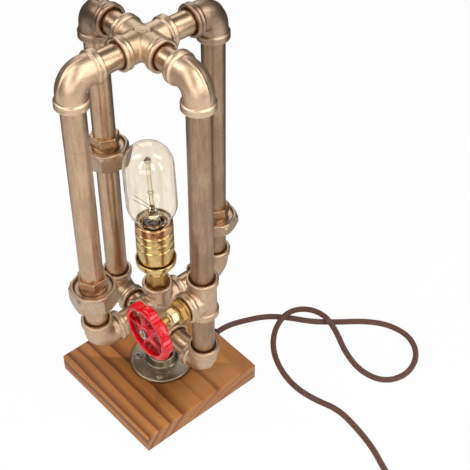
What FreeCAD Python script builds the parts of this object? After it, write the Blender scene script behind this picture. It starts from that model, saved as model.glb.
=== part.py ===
"""Table lamp built from half-inch pipe and beaded fittings on a wooden base, with a valve handwheel as its switch.

Row frame: +Z up, origin on the resting face on the lamp's axis, where the holder and the flange stand; the middle of
the base lies a little off it. The handwheel faces -Y (front); the riser that carries the valve is on +X (right). All
sizes are millimetres.
"""
import FreeCAD, Part
import math
import os

Vector = FreeCAD.Vector
X_AXIS = Vector(1, 0, 0)
Y_AXIS = Vector(0, 1, 0)
Z_AXIS = Vector(0, 0, 1)
ORIGIN = Vector(0, 0, 0)

# ------------------------------------------------------------------ half-inch pipe and beaded fittings
PIPE_OD = 21.3
PIPE_WALL = 2.7
THREAD_FIT = 0.05            # radial clearance between a pipe and the thread bore it sits in
THREAD_DEPTH = 12.0          # how far a pipe goes into a fitting, down to the stop
FITTING_FACE = 28.0          # from a fitting's centre to its face
FITTING_BODY_OD = 27.8
BEAD_OD = 32.0
BEAD_WIDTH = 8.0
BEAD_ROUND = 1.5
RECESS_GAP = 2.0             # radial gap round the pipe in the mouth recess
RECESS_DEPTH = 3.0
BEND_THROAT = 1.1            # inside radius of an elbow's bend
SEAM_WIDTH = 2.2             # casting seam along the back of an elbow
SEAM_HEIGHT = 0.7
EXPOSED_THREAD_PITCH = 1.8
EXPOSED_THREAD_HEIGHT = 0.45
TOP_THREAD_SHOW = {"front": 5.4}                   # length of thread left showing on a nipple
LOWER_THREAD_SHOW = {"right": 3.6, "front": 3.6}

# ------------------------------------------------------------------ frame of the lamp
FRONT_REACH = 77.0           # lamp axis to the front riser
REAR_REACH = 78.0
SIDE_REACH = 72.0            # lamp axis to the left and right risers
LOWER_CROSS_Z = 81.5
UPPER_CROSS_Z = 116.0
TOP_CROSS_Z = 433.0
LOWER_CROSS_TOP = 20.0       # the lower cross is cut short on top, for the male end of the upper one
VALVE_TEE_Z = 177.0
VALVE_TEE_BOTTOM = 20.5      # short lower arm of the valve tee, from its centre
VALVE_TEE_BRANCH = 24.5
SHORT_ELBOW_ARM = 21.0       # level arm of the right lower elbow
BOSS_LENGTH = 15.0           # oval pad on the top cross
BOSS_WIDTH = 9.0
BOSS_HEIGHT = 0.8

# ------------------------------------------------------------------ union
UNION_BOTTOMS = {"front": 166.5, "rear": 174.0, "left": 257.5}
UNION_NUT_LENGTHS = {"front": 23.0, "rear": 15.5, "left": 21.5}
UNION_NUT_TURNS = {"front": 19, "rear": 19, "left": 12}
UNION_TAIL_TURNS = {"front": 0, "rear": 32, "left": 8}
UNION_SEAT_OD = 28.0
UNION_SEAT_SHOW = 1.5        # seat left showing below the nut
UNION_THREAD_DEPTH = 6.0     # how far the lower pipe goes into the seat
UNION_THREAD_OD = 38.0
UNION_NUT_HEX = 42.6
UNION_NUT_CHAMFER = 4.5
UNION_NUT_SHOULDER = 5.0     # rounded height between the nut's flats and its rim
UNION_NUT_RIM_OD = 45.0
UNION_NUT_RIM = 3.4
UNION_NUT_DISH = 3.0
UNION_NUT_LIP = 3.0          # lip under the dish that bears on the tail's collar
UNION_COLLAR_LENGTH = 3.0
UNION_TAIL_HEX = 26.2
UNION_TAIL_HEX_LENGTH = 12.0
UNION_TAIL_GAP = 1.0         # from the nut's rim up to the tail's hexagon
UNION_FIT = 0.1

# ------------------------------------------------------------------ base
BASE_SIDE = 150.0
BASE_THICKNESS = 21.0
BASE_EDGE_ROUND = 1.5
BASE_OFFSET_X = -1.0         # middle of the base from the lamp axis
BASE_OFFSET_Y = -3.7
FELT_THICKNESS = 1.0
FELT_INSET = 3.0
CORD_CHANNEL_WIDTH = 9.0
CORD_CHANNEL_HEIGHT = 11.5
FLANGE_OD = 69.0
FLANGE_THICKNESS = 4.0
FLANGE_HUB_OD = 33.0
FLANGE_HUB_TOP_OD = 30.0
FLANGE_HUB_HEIGHT = 13.3
FLANGE_SCREW_CIRCLE = 52.0
FLANGE_SCREWS = 4
SCREW_OD = 4.0
SCREW_HEAD_OD = 8.4
SCREW_HEAD_HEIGHT = 2.4
SCREW_CLEARANCE = 0.25
SCREW_LENGTH = 16.0

# ------------------------------------------------------------------ valve that works as the switch
BONNET_COLLAR_OD = 25.0
BONNET_COLLAR_LENGTH = 3.0
BONNET_HEX = 21.0
BONNET_HEX_LENGTH = 6.0
BONNET_NECK_OD = 15.0
BONNET_NECK_LENGTH = 1.5
GLAND_HEX = 14.5
GLAND_LENGTH = 9.0
SPINDLE_OD = 7.0
SPINDLE_FIT = 0.08
SPINDLE_TANG = 5.4
SPINDLE_END_STEP = 0.5       # the round end inside the square's flats
WHEEL_OD = 61.0
WHEEL_RIM_WIDTH = 7.0
WHEEL_THICKNESS = 10.5
WHEEL_WEB = 4.0
WHEEL_WEB_STEP = 1.2         # from the rim's front back to the web at the hub
WHEEL_WEB_DISH = 3.8         # how much further back the web meets the rim
WHEEL_HUB_STEP = 0.5         # from the rim's front back to the hub
WHEEL_HUB_OD = 17.0
WHEEL_SPOKES = 5
WHEEL_SPOKE_WIDTH = 8.0
WHEEL_RIB_WIDTH = 2.0
WHEEL_RIB_STEP = 2.2         # from the rim's front back to the rib on each spoke
WHEEL_TURN = 3.0             # degrees of the first opening above level
WHEEL_LOBES = 8
WHEEL_LOBE_TURN = 42.0       # degrees of the first lobe above level
WHEEL_SCALLOP_RADIUS = 9.0
WHEEL_SCALLOP_DEPTH = 4.0
WHEEL_EDGE_ROUND = 0.6
WHEEL_FRONT_ROUND = 4.2
WHEEL_BACK_ROUND = 2.6
WHEEL_BACK_Y = 61.0          # lamp axis to the back of the wheel's rim
WHEEL_NUT_HEX = 9.0
WHEEL_NUT_LENGTH = 3.0
SWITCH_OD = 15.0
SWITCH_LENGTH = 14.0
SWITCH_SLOT_DEPTH = 5.0

# ------------------------------------------------------------------ lamp holder and bulb
HOLDER_NECK_HEX = 19.5
HOLDER_NECK_LENGTH = 21.0
HOLDER_NECK_BORE = 9.0
HOLDER_NECK_WALL = 2.0
CUP_STEP_OD = 25.4
CUP_STEP_HEIGHT = 3.5
CUP_FLARE_HEIGHT = 9.5
CUP_OD = 40.4
CUP_HEIGHT = 17.5
CUP_WALL = 1.2
CUP_LEDGE = 11.0             # inside floor of the cup above its bottom face
SHELL_OD = 35.4
SHELL_WALL = 0.9
SHELL_TOP = 91.0             # top of the shell above the neck's seat
SHELL_PLAIN = 59.5           # where the ribbed part begins, above the neck's seat
SHELL_RIBS = 3
SHELL_RIB_HEIGHT = 1.0
SLEEVE_BORE = 27.6
SLEEVE_WALL = 0.5
INSERT_FLOOR = 22.0
INSERT_TOP_GAP = 5.0
BULB_OD = 49.6
BULB_GLASS = 0.8
BULB_TOP = 182.0             # top of the bulb above the neck's seat
BULB_LEAN = 1.9              # degrees that the glass leans forwards and left in its cap
BULB_LEAN_AXIS = Vector(0.94, -0.34, 0)
BULB_NECK_OD = 26.0
BULB_SEAT_GAP = 0.8          # from the cap's rim up to the leaning glass
BULB_SHOULDER = 28.5         # from the cap's rim up to the glass's full width
CAP_OD = 26.4
CAP_LENGTH = 24.0
CAP_TIP_OD = 9.0
CAP_TIP_LENGTH = 2.5
STEM_ROD_OD = 4.4
STEM_PINCH_OD = 6.2
STEM_LENGTH = 82.0
STEM_FLARE_TOP = 7.0         # heights of the stem's parts above the cap's rim
STEM_PRESS_TOP = 15.0
STEM_PINCH_BOTTOM = 17.0
STEM_ROD_BOTTOM = 25.0
STEM_PRESS_EXTRA = 1.6       # the press is wider than the pinch above it, on each side
SUPPORT_WIRE_HEIGHTS = {21.5: -0.25, 18.0: -0.35}  # height above the cap's rim: slant
FILAMENT_WIRE = 0.6
SUPPORT_WIRE_LENGTH = 19.0
LEAD_OD = 1.8
LEAD_SPREAD = 1.3

# ------------------------------------------------------------------ mains cord and plug
CORD_OD = 6.5
CORD_EXIT_Z = 7.5
CORD_BUSH_INSIDE = 17.0
CORD_BUSH_FLANGE_OD = 12.2
CORD_BUSH_FLANGE = 2.0
CORD_BUSH_NOSE = 6.0
CORD_BUSH_BODY_OD = 10.0
CORD_BUSH_NOSE_OD = 8.2
CORD_FIT = 0.05
CORD_ROUTE = [               # x, y and the height of the cord's underside
    (0, 79.3, 4.25), (0, 93, 4.25), (3, 113, 0.2), (16, 141, 0), (35, 159, 0), (58, 175, 0), (78, 197, 0),
    (97, 221, 0), (119, 238, 0), (148, 243, 0), (173, 228, 0), (184, 199, 0), (174, 172, 0), (147, 163, 0),
    (117, 169, 3), (90, 181, 13.2), (63.2, 189.1, 13.2), (41, 179.5, 13.2), (32, 158, 13.2), (39, 133, 7),
    (57, 113, 0), (83, 99, 0), (113, 93, 0), (140, 97, 0), (167, 107, 0), (197, 104, 0), (226, 98, 0),
    (253, 87, 0), (281, 78, 0), (307, 65.5, 0)]
COIL_CENTRE = (291.4, 33.1)
COIL_RADIUS = 36.0           # middle of the coil's turns, which lie two wide and three high
COIL_ROUND = 3.0
PLUG_LENGTH = 34.0
PLUG_WIDTH = 26.0
PLUG_THICKNESS = 13.6
PLUG_NOSE_WIDTH = 20.0
PLUG_NECK_OD = 9.0
PLUG_NECK_LENGTH = 20.0
PLUG_PIN_OD = 4.0
PLUG_PIN_LENGTH = 19.0
PLUG_PIN_SPACING = 18.6
PLUG_HEADING = 205.0         # degrees from +X that the plug points
PLUG_LEAD = 26.0             # straight cord between the coil's outer turn and the plug

# ------------------------------------------------------------------ worked out from the sizes above
BEND_RADIUS = FITTING_BODY_OD / 2 + BEND_THROAT
BASE_BACK_Y = BASE_OFFSET_Y + BASE_SIDE / 2
PIPE_RADIUS = PIPE_OD / 2
PIPE_BORE_RADIUS = PIPE_RADIUS - PIPE_WALL
THREAD_RADIUS = PIPE_RADIUS + THREAD_FIT
WOOD_TOP = FELT_THICKNESS + BASE_THICKNESS
HOLDER_SEAT_Z = UPPER_CROSS_Z + FITTING_FACE - RECESS_DEPTH
SIDES = ("right", "rear", "left", "front")
HEADINGS = {side: 360 / len(SIDES) * index for index, side in enumerate(SIDES)}
REACHES = {"right": SIDE_REACH, "rear": REAR_REACH, "left": SIDE_REACH, "front": FRONT_REACH}
LOWER_LEVELS = {"right": LOWER_CROSS_Z, "rear": UPPER_CROSS_Z, "left": LOWER_CROSS_Z, "front": UPPER_CROSS_Z}


# ------------------------------------------------------------------ drawing helpers
def outline(corners):
    """Closed wire in the XZ plane through corners (u, v); a third number rounds that corner by that radius."""
    count = len(corners)
    turns = []
    for index, corner in enumerate(corners):
        here = Vector(corner[0], 0, corner[1])
        if len(corner) < 3:
            turns.append((here, None, here))
            continue
        last = corners[index - 1]
        following = corners[(index + 1) % count]
        back = (Vector(last[0], 0, last[1]) - here).normalize()
        ahead = (Vector(following[0], 0, following[1]) - here).normalize()
        half = back.getAngle(ahead) / 2
        reach = corner[2] / math.tan(half)
        middle = here + (back + ahead).normalize() * (corner[2] / math.sin(half) - corner[2])
        turns.append((here + back * reach, middle, here + ahead * reach))
    edges = []
    for index, (start, middle, end) in enumerate(turns):
        if middle is not None:
            edges.append(Part.Arc(start, middle, end).toShape())
        next_start = turns[(index + 1) % count][0]
        if (next_start - end).Length > 1e-6:
            edges.append(Part.LineSegment(end, next_start).toShape())
    return Part.Wire(edges)


def turned(corners, base=ORIGIN, direction=Z_AXIS):
    """Solid turned from (radius, height) corners about the line from base along direction."""
    solid = Part.Face(outline(corners)).revolve(ORIGIN, Z_AXIS, 360)
    if solid.Volume < 0:
        solid.reverse()
    solid.Placement = FreeCAD.Placement(base, FreeCAD.Rotation(Z_AXIS, direction))
    return solid


def rod(radius, length, base=ORIGIN, direction=Z_AXIS):
    return Part.makeCylinder(radius, length, base, direction)


def tube(outer, inner, length, base=ORIGIN, direction=Z_AXIS):
    return rod(outer, length, base, direction).cut(rod(inner, length, base, direction))


def hexagon(across_flats, length, base=ORIGIN, direction=Z_AXIS, chamfer=1.0):
    """Hexagonal bar whose corners are turned off at both ends."""
    corner = across_flats / math.sqrt(3)
    points = [Vector(corner * math.cos(math.radians(a)), corner * math.sin(math.radians(a)), 0)
              for a in range(0, 361, 60)]
    bar = Part.Face(Part.makePolygon(points)).extrude(Vector(0, 0, length))
    limit = turned([(0, 0), (corner - chamfer, 0), (corner, chamfer * 0.6), (corner, length - chamfer * 0.6),
                    (corner - chamfer, length), (0, length)])
    bar = bar.common(limit)
    bar.Placement = FreeCAD.Placement(base, FreeCAD.Rotation(Z_AXIS, direction))
    return bar


def merged(first, *others):
    return first.fuse(list(others)).removeSplitter()


def about_z(shape, heading):
    shape = shape.copy()
    shape.rotate(ORIGIN, Z_AXIS, heading)
    return shape


def path_wire(points, bend):
    """Straight runs through points, joined by tangent arcs; bend(shorter run, half turn) is each arc's radius."""
    edges = []
    radii = []
    start = points[0]
    for before, here, after in zip(points, points[1:], points[2:]):
        back = (before - here).normalize()
        ahead = (after - here).normalize()
        half_turn = (math.pi - back.getAngle(ahead)) / 2
        radius = bend(min((before - here).Length, (after - here).Length), half_turn)
        reach = radius * math.tan(half_turn)
        entry = here + back * reach
        leave = here + ahead * reach
        middle = here + (back + ahead).normalize() * (radius / math.cos(half_turn) - radius)
        edges.append(Part.LineSegment(start, entry).toShape())
        edges.append(Part.Arc(entry, middle, leave).toShape())
        radii.append(radius)
        start = leave
    edges.append(Part.LineSegment(start, points[-1]).toShape())
    return Part.Wire(edges), radii


def swept(points, radius, bend):
    """Round cable along points. Returns the solid, its path length and its bend radii."""
    wire, radii = path_wire(points, bend)
    ring = Part.Wire(Part.makeCircle(radius, points[0], points[1] - points[0]))
    solid = wire.makePipeShell([ring], True, False)
    return solid, wire.Length, radii


def fixed_bend(radius):
    return lambda shorter, half_turn: radius


def loose_bend(shorter, half_turn):
    return 0.45 * shorter / math.tan(half_turn)


# ------------------------------------------------------------------ pipe and fittings
def arm(direction, start=0.0, face=FITTING_FACE):
    """Outside of one fitting arm, with its bead at the face, along direction from the fitting's centre."""
    body = FITTING_BODY_OD / 2
    bead = BEAD_OD / 2
    shoulder = face - BEAD_WIDTH
    return turned([(0, start), (body, start), (body, shoulder), (bead, shoulder + 1.0, BEAD_ROUND / 2),
                   (bead, face, BEAD_ROUND), (0, face)], ORIGIN, direction)


def arm_bore(direction, start=0.0, face=FITTING_FACE):
    """Inside of one fitting arm: through bore, thread bore down to the stop, and mouth recess."""
    stop = face - THREAD_DEPTH
    start = min(start, stop - 1.0)
    return turned([(0, start), (PIPE_BORE_RADIUS, start), (PIPE_BORE_RADIUS, stop),
                   (THREAD_RADIUS, stop), (THREAD_RADIUS, face - RECESS_DEPTH),
                   (PIPE_RADIUS + RECESS_GAP, face - RECESS_DEPTH), (PIPE_RADIUS + RECESS_GAP, face), (0, face)],
                  ORIGIN, direction)


def fitting(directions, faces=None):
    """Cross or tee with one arm along each direction."""
    faces = faces or [FITTING_FACE] * len(directions)
    body = merged(*[arm(d, face=f) for d, f in zip(directions, faces)])
    for direction, face in zip(directions, faces):
        body = body.cut(arm_bore(direction, face=face))
    return body


def bend_solid(radius):
    """Quarter bend of a round bar, from the +X arm's axis to the +Z arm's axis."""
    ring = Part.Face(Part.Wire(Part.makeCircle(radius, Vector(BEND_RADIUS, 0, 0), X_AXIS)))
    solid = ring.revolve(Vector(BEND_RADIUS, 0, BEND_RADIUS), Y_AXIS, 90)
    if solid.Volume < 0:
        solid.reverse()
    return solid


def elbow(level_face=FITTING_FACE):
    """Quarter-turn elbow with its arms along +X and +Z and a casting seam along its back."""
    level_start = min(BEND_RADIUS, level_face - BEAD_WIDTH - 1.0)
    body = merged(bend_solid(FITTING_BODY_OD / 2), arm(X_AXIS, level_start, level_face), arm(Z_AXIS, BEND_RADIUS))
    back = BEND_RADIUS + FITTING_BODY_OD / 2
    strip = Part.makePlane(SEAM_WIDTH, 1.0 + SEAM_HEIGHT,
                           Vector(BEND_RADIUS, -SEAM_WIDTH / 2, BEND_RADIUS - back - SEAM_HEIGHT), X_AXIS, Y_AXIS)
    seam = strip.revolve(Vector(BEND_RADIUS, 0, BEND_RADIUS), Y_AXIS, 90)
    body = merged(body, seam)
    for bore in (bend_solid(PIPE_BORE_RADIUS), arm_bore(X_AXIS, BEND_RADIUS, level_face),
                 arm_bore(Z_AXIS, BEND_RADIUS)):
        body = body.cut(bore)
    return body


def pipe(low, high, top_depth=THREAD_DEPTH, direction=Z_AXIS):
    """Pipe along direction between the fitting faces at low and high; its ends are screwed into the fittings."""
    length = high - low + THREAD_DEPTH + top_depth
    return tube(PIPE_RADIUS, PIPE_BORE_RADIUS, length, direction * (low - THREAD_DEPTH), direction)


def nipple(high, inner_show=0.0, outer_show=0.0):
    """Short pipe along +X from a fitting at 0 to the face at high, with thread left showing at its ends."""
    low = FITTING_FACE
    body = pipe(low, high, THREAD_DEPTH, X_AXIS)
    inner_turns = round(inner_show / EXPOSED_THREAD_PITCH)
    outer_turns = round(outer_show / EXPOSED_THREAD_PITCH)
    crests = [low + EXPOSED_THREAD_PITCH * (turn + 0.5) for turn in range(inner_turns)]
    crests += [high - EXPOSED_THREAD_PITCH * (turn + 0.5) for turn in range(outer_turns)]
    foot = EXPOSED_THREAD_PITCH * 0.4
    root = PIPE_RADIUS - 0.3
    for crest in crests:
        ring = turned([(root, crest - foot), (PIPE_RADIUS, crest - foot),
                       (PIPE_RADIUS + EXPOSED_THREAD_HEIGHT, crest), (PIPE_RADIUS, crest + foot),
                       (root, crest + foot)], ORIGIN, X_AXIS)
        body = body.fuse(ring)
    return body.removeSplitter()


def at_height(shape, z):
    shape = shape.copy()
    shape.translate(Vector(0, 0, z))
    return shape


def placed(shape, side, z):
    """Moves a piece drawn on its riser's axis out to that side's riser, at height z."""
    shape = shape.copy()
    shape.translate(Vector(REACHES[side], 0, z))
    return about_z(shape, HEADINGS[side])


def lower_elbow(level_face):
    shape = elbow(level_face)
    shape.rotate(ORIGIN, Z_AXIS, 180)
    return shape


def top_elbow():
    shape = elbow()
    shape.rotate(ORIGIN, Y_AXIS, 180)
    return shape


def union_seat(nut_length):
    """Lower union half: round foot, threaded barrel and flat seat, bottom face at height 0."""
    seat_top = UNION_SEAT_SHOW + nut_length - UNION_NUT_DISH - UNION_NUT_LIP - UNION_COLLAR_LENGTH
    barrel = UNION_THREAD_OD / 2 - UNION_FIT
    body = turned([(THREAD_RADIUS, 0), (UNION_SEAT_OD / 2, 0, 0.6), (UNION_SEAT_OD / 2, UNION_SEAT_SHOW),
                   (barrel, UNION_SEAT_SHOW), (barrel, seat_top), (PIPE_BORE_RADIUS, seat_top),
                   (PIPE_BORE_RADIUS, UNION_THREAD_DEPTH), (THREAD_RADIUS, UNION_THREAD_DEPTH)])
    return body


def union_tail(nut_length):
    """Upper union half: collar that the nut pulls onto the seat, neck and hexagon."""
    nut_top = UNION_SEAT_SHOW + nut_length
    collar_top = nut_top - UNION_NUT_DISH - UNION_NUT_LIP
    collar_bottom = collar_top - UNION_COLLAR_LENGTH
    hexagon_bottom = nut_top + UNION_TAIL_GAP
    neck = UNION_TAIL_HEX / 2
    body = merged(rod(UNION_THREAD_OD / 2 - 1.0, UNION_COLLAR_LENGTH, Vector(0, 0, collar_bottom)),
                  rod(neck, hexagon_bottom - collar_bottom, Vector(0, 0, collar_bottom)),
                  hexagon(UNION_TAIL_HEX, UNION_TAIL_HEX_LENGTH, Vector(0, 0, hexagon_bottom)))
    top = hexagon_bottom + UNION_TAIL_HEX_LENGTH
    body = body.cut(rod(PIPE_BORE_RADIUS, top))
    return body.cut(rod(THREAD_RADIUS, THREAD_DEPTH, Vector(0, 0, top - THREAD_DEPTH)))


def union_top(nut_length):
    """Height of the union's top face above its bottom face."""
    return UNION_SEAT_SHOW + nut_length + UNION_TAIL_GAP + UNION_TAIL_HEX_LENGTH


def union_nut(nut_length):
    """Large hexagon nut, rounded off into a round rim with a wide dish; its inner lip rests on the tail's collar."""
    corner = UNION_NUT_HEX / math.sqrt(3)
    rim = UNION_NUT_RIM_OD / 2
    dish = rim - UNION_NUT_RIM
    dish_floor = nut_length - UNION_NUT_DISH
    shoulder = nut_length - UNION_NUT_SHOULDER
    bar = hexagon(UNION_NUT_HEX, nut_length, ORIGIN, Z_AXIS, 0.5)
    limit = turned([(0, 0), (corner - UNION_NUT_CHAMFER, 0), (corner, UNION_NUT_CHAMFER), (corner, shoulder, 2.0),
                    (rim, nut_length - 1.6, 1.0), (rim, nut_length), (0, nut_length)])
    body = bar.common(limit)
    ring = turned([(0, shoulder), (rim - 0.8, shoulder), (rim - 0.8, nut_length, 1.2), (0, nut_length)])
    body = merged(body, ring)
    over = nut_length + 1.0
    body = body.cut(turned([(0, dish_floor), (dish, dish_floor, 0.8), (dish, over), (0, over)]))
    body = body.cut(rod(UNION_THREAD_OD / 2, dish_floor - UNION_NUT_LIP))
    body = body.cut(rod(UNION_TAIL_HEX / 2 + UNION_FIT, nut_length))
    return at_height(body, UNION_SEAT_SHOW)


# ------------------------------------------------------------------ base
def box_at(size_x, size_y, size_z, centre_x, centre_y, bottom):
    return Part.makeBox(size_x, size_y, size_z, Vector(centre_x - size_x / 2, centre_y - size_y / 2, bottom))


def screw_places():
    """Centres of the flange screws, on the diagonals of the base."""
    step = 360 / FLANGE_SCREWS
    radius = FLANGE_SCREW_CIRCLE / 2
    headings = [math.radians(step * (index - 0.5)) for index in range(FLANGE_SCREWS)]
    return [Vector(radius * math.cos(heading), radius * math.sin(heading), 0) for heading in headings]


def wood_base():
    block = box_at(BASE_SIDE, BASE_SIDE, BASE_THICKNESS, BASE_OFFSET_X, BASE_OFFSET_Y, FELT_THICKNESS)
    block = block.makeFillet(BASE_EDGE_ROUND, block.Edges)
    well = PIPE_BORE_RADIUS
    block = block.cut(rod(well, WOOD_TOP))
    inner_end = BASE_BACK_Y - CORD_BUSH_INSIDE
    block = block.cut(box_at(CORD_CHANNEL_WIDTH, inner_end, CORD_CHANNEL_HEIGHT, 0, inner_end / 2, FELT_THICKNESS))
    bush_hole = rod(CORD_BUSH_BODY_OD / 2 + CORD_FIT, CORD_BUSH_INSIDE, Vector(0, inner_end, CORD_EXIT_Z), Y_AXIS)
    block = block.cut(bush_hole)
    shank = SCREW_OD / 2 + CORD_FIT
    for place in screw_places():
        block = block.cut(rod(shank, SCREW_LENGTH, place + Vector(0, 0, WOOD_TOP - SCREW_LENGTH)))
    return block


def base_felt():
    side = BASE_SIDE - 2 * FELT_INSET
    return box_at(side, side, FELT_THICKNESS, BASE_OFFSET_X, BASE_OFFSET_Y, 0)


def floor_flange():
    """Disc with a tapered threaded hub and countersunk screw holes."""
    hub = FLANGE_HUB_OD / 2
    top = FLANGE_HUB_HEIGHT
    body = turned([(PIPE_BORE_RADIUS, 0), (FLANGE_OD / 2, 0), (FLANGE_OD / 2, FLANGE_THICKNESS, 1.5),
                   (hub, FLANGE_THICKNESS, 2.0), (FLANGE_HUB_TOP_OD / 2, top, 1.2), (PIPE_RADIUS + RECESS_GAP, top),
                   (PIPE_RADIUS + RECESS_GAP, top - RECESS_DEPTH), (THREAD_RADIUS, top - RECESS_DEPTH),
                   (THREAD_RADIUS, top - THREAD_DEPTH), (PIPE_BORE_RADIUS, top - THREAD_DEPTH)],
                  Vector(0, 0, WOOD_TOP))
    for place in screw_places():
        seat = place + Vector(0, 0, WOOD_TOP)
        body = body.cut(rod(SCREW_OD / 2 + SCREW_CLEARANCE, FLANGE_THICKNESS, seat))
        sink = Part.makeCone(SCREW_OD / 2, SCREW_HEAD_OD / 2, SCREW_HEAD_HEIGHT,
                             seat + Vector(0, 0, FLANGE_THICKNESS - SCREW_HEAD_HEIGHT))
        body = body.cut(sink)
    return body


def flange_screws():
    """Countersunk cross-recess wood screws."""
    screws = []
    recess_width = SCREW_HEAD_OD * 0.14
    recess_length = SCREW_HEAD_OD * 0.56
    top = WOOD_TOP + FLANGE_THICKNESS
    head_height = SCREW_HEAD_HEIGHT
    tip_height = SCREW_OD * 0.8
    bottom = WOOD_TOP - SCREW_LENGTH
    for place in screw_places():
        shank = SCREW_OD / 2
        body = turned([(0, bottom), (shank, bottom + tip_height), (shank, top - head_height),
                       (SCREW_HEAD_OD / 2, top), (0, top + 0.5)], place)
        for length, width in ((recess_length, recess_width), (recess_width, recess_length)):
            body = body.cut(box_at(length, width, head_height, place.x, place.y, top - head_height * 0.45))
        screws.append(body)
    return Part.makeCompound(screws)


# ------------------------------------------------------------------ valve switch on the right riser
VALVE_AXIS = Vector(SIDE_REACH, 0, VALVE_TEE_Z)
FRONTWARDS = Vector(0, -1, 0)
SPINDLE_RADIUS = SPINDLE_OD / 2
SPINDLE_BORE = SPINDLE_RADIUS + SPINDLE_FIT
BONNET_FACE = VALVE_TEE_BRANCH + BONNET_COLLAR_LENGTH + BONNET_HEX_LENGTH + BONNET_NECK_LENGTH
GLAND_FACE = BONNET_FACE + GLAND_LENGTH
WHEEL_FRONT = WHEEL_BACK_Y + WHEEL_THICKNESS
HUB_FRONT = WHEEL_FRONT - WHEEL_HUB_STEP
SPINDLE_SHOULDER = WHEEL_BACK_Y + 1.0
SPINDLE_END_RADIUS = SPINDLE_TANG / 2 - SPINDLE_END_STEP


def along_valve(distance):
    """Point on the valve axis, distance in front of the riser's axis."""
    return VALVE_AXIS + FRONTWARDS * distance


def valve_bonnet():
    """Brass headwork: threaded spigot in the tee's branch, collar, hexagon and neck."""
    spigot_start = VALVE_TEE_BRANCH - THREAD_DEPTH
    collar_start = VALVE_TEE_BRANCH
    hex_start = collar_start + BONNET_COLLAR_LENGTH
    body = merged(rod(PIPE_RADIUS, BONNET_FACE - spigot_start - BONNET_NECK_LENGTH - BONNET_HEX_LENGTH,
                      along_valve(spigot_start), FRONTWARDS),
                  turned([(0, 0), (BONNET_COLLAR_OD / 2, 0, 0.6), (BONNET_COLLAR_OD / 2, BONNET_COLLAR_LENGTH, 0.6),
                          (0, BONNET_COLLAR_LENGTH)], along_valve(collar_start), FRONTWARDS),
                  hexagon(BONNET_HEX, BONNET_HEX_LENGTH, along_valve(hex_start), FRONTWARDS),
                  rod(BONNET_NECK_OD / 2, BONNET_NECK_LENGTH, along_valve(BONNET_FACE - BONNET_NECK_LENGTH),
                      FRONTWARDS))
    return body.cut(rod(SPINDLE_BORE, BONNET_FACE, along_valve(0), FRONTWARDS))


def gland_nut():
    body = merged(hexagon(GLAND_HEX, GLAND_LENGTH - 1.5, along_valve(BONNET_FACE), FRONTWARDS, 0.8),
                  rod(GLAND_HEX * 0.36, GLAND_LENGTH, along_valve(BONNET_FACE), FRONTWARDS))
    return body.cut(rod(SPINDLE_BORE, GLAND_LENGTH, along_valve(BONNET_FACE), FRONTWARDS))


def square_bar(side, low, high):
    """Square bar on the valve axis between two distances in front of the riser."""
    half = side / 2
    bar = Part.makeBox(side, high - low, side, Vector(SIDE_REACH - half, -high, VALVE_TEE_Z - half))
    return bar


SWITCH_FRONT = VALVE_TEE_BRANCH - THREAD_DEPTH
SWITCH_BACK = SWITCH_FRONT - SWITCH_LENGTH


def valve_spindle():
    """Spindle with a drive tongue in the switch and a square end in the wheel's hub."""
    nut_end = HUB_FRONT + WHEEL_NUT_LENGTH + 1.0
    shank_start = SWITCH_FRONT
    body = merged(rod(SPINDLE_RADIUS, SPINDLE_SHOULDER - shank_start, along_valve(shank_start), FRONTWARDS),
                  square_bar(SPINDLE_TANG, SPINDLE_SHOULDER, HUB_FRONT),
                  rod(SPINDLE_END_RADIUS, nut_end - SPINDLE_SHOULDER, along_valve(SPINDLE_SHOULDER), FRONTWARDS))
    tongue = rod(SPINDLE_RADIUS * 0.6, SWITCH_SLOT_DEPTH - 0.3, along_valve(shank_start - SWITCH_SLOT_DEPTH + 0.3),
                 FRONTWARDS)
    return merged(body, tongue)


def handwheel():
    """Cast wheel: lobed rim, dished web with openings between ribbed spokes, hub with a square hole."""
    rim = WHEEL_OD / 2
    inner = rim - WHEEL_RIM_WIDTH
    web_high = WHEEL_THICKNESS - WHEEL_WEB_STEP
    web_low = web_high - WHEEL_WEB
    hub = WHEEL_HUB_OD / 2
    hub_low = SPINDLE_SHOULDER - WHEEL_BACK_Y
    hub_high = HUB_FRONT - WHEEL_BACK_Y
    body = turned([(0, hub_low), (hub, hub_low, 0.8), (hub, web_low), (inner, web_low - WHEEL_WEB_DISH),
                   (inner + 0.8, 0, WHEEL_EDGE_ROUND), (rim, 0, WHEEL_BACK_ROUND),
                   (rim, WHEEL_THICKNESS, WHEEL_FRONT_ROUND), (inner + 0.8, WHEEL_THICKNESS, WHEEL_EDGE_ROUND),
                   (inner, web_high - WHEEL_WEB_DISH), (hub, web_high), (hub, hub_high, 0.4), (0, hub_high)])
    for index in range(WHEEL_SPOKES):
        heading = WHEEL_TURN + 360 / WHEEL_SPOKES * index
        body = body.cut(about_z(wheel_opening(hub + 0.8, inner - 1.2), heading))
        body = body.fuse(about_z(wheel_rib(hub - 1.0, inner + 1.0, web_low), heading + 180 / WHEEL_SPOKES))
    notch_centre = rim - WHEEL_SCALLOP_DEPTH + WHEEL_SCALLOP_RADIUS
    for index in range(WHEEL_LOBES):
        notch = rod(WHEEL_SCALLOP_RADIUS, WHEEL_THICKNESS, Vector(notch_centre, 0, 0))
        body = body.cut(about_z(notch, WHEEL_LOBE_TURN + 360 / WHEEL_LOBES * (index + 0.5)))
    body.Placement = FreeCAD.Placement(along_valve(WHEEL_BACK_Y), FreeCAD.Rotation(Z_AXIS, FRONTWARDS))
    hole = square_bar(SPINDLE_TANG, WHEEL_BACK_Y, WHEEL_FRONT)
    return body.cut(hole).removeSplitter()


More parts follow.
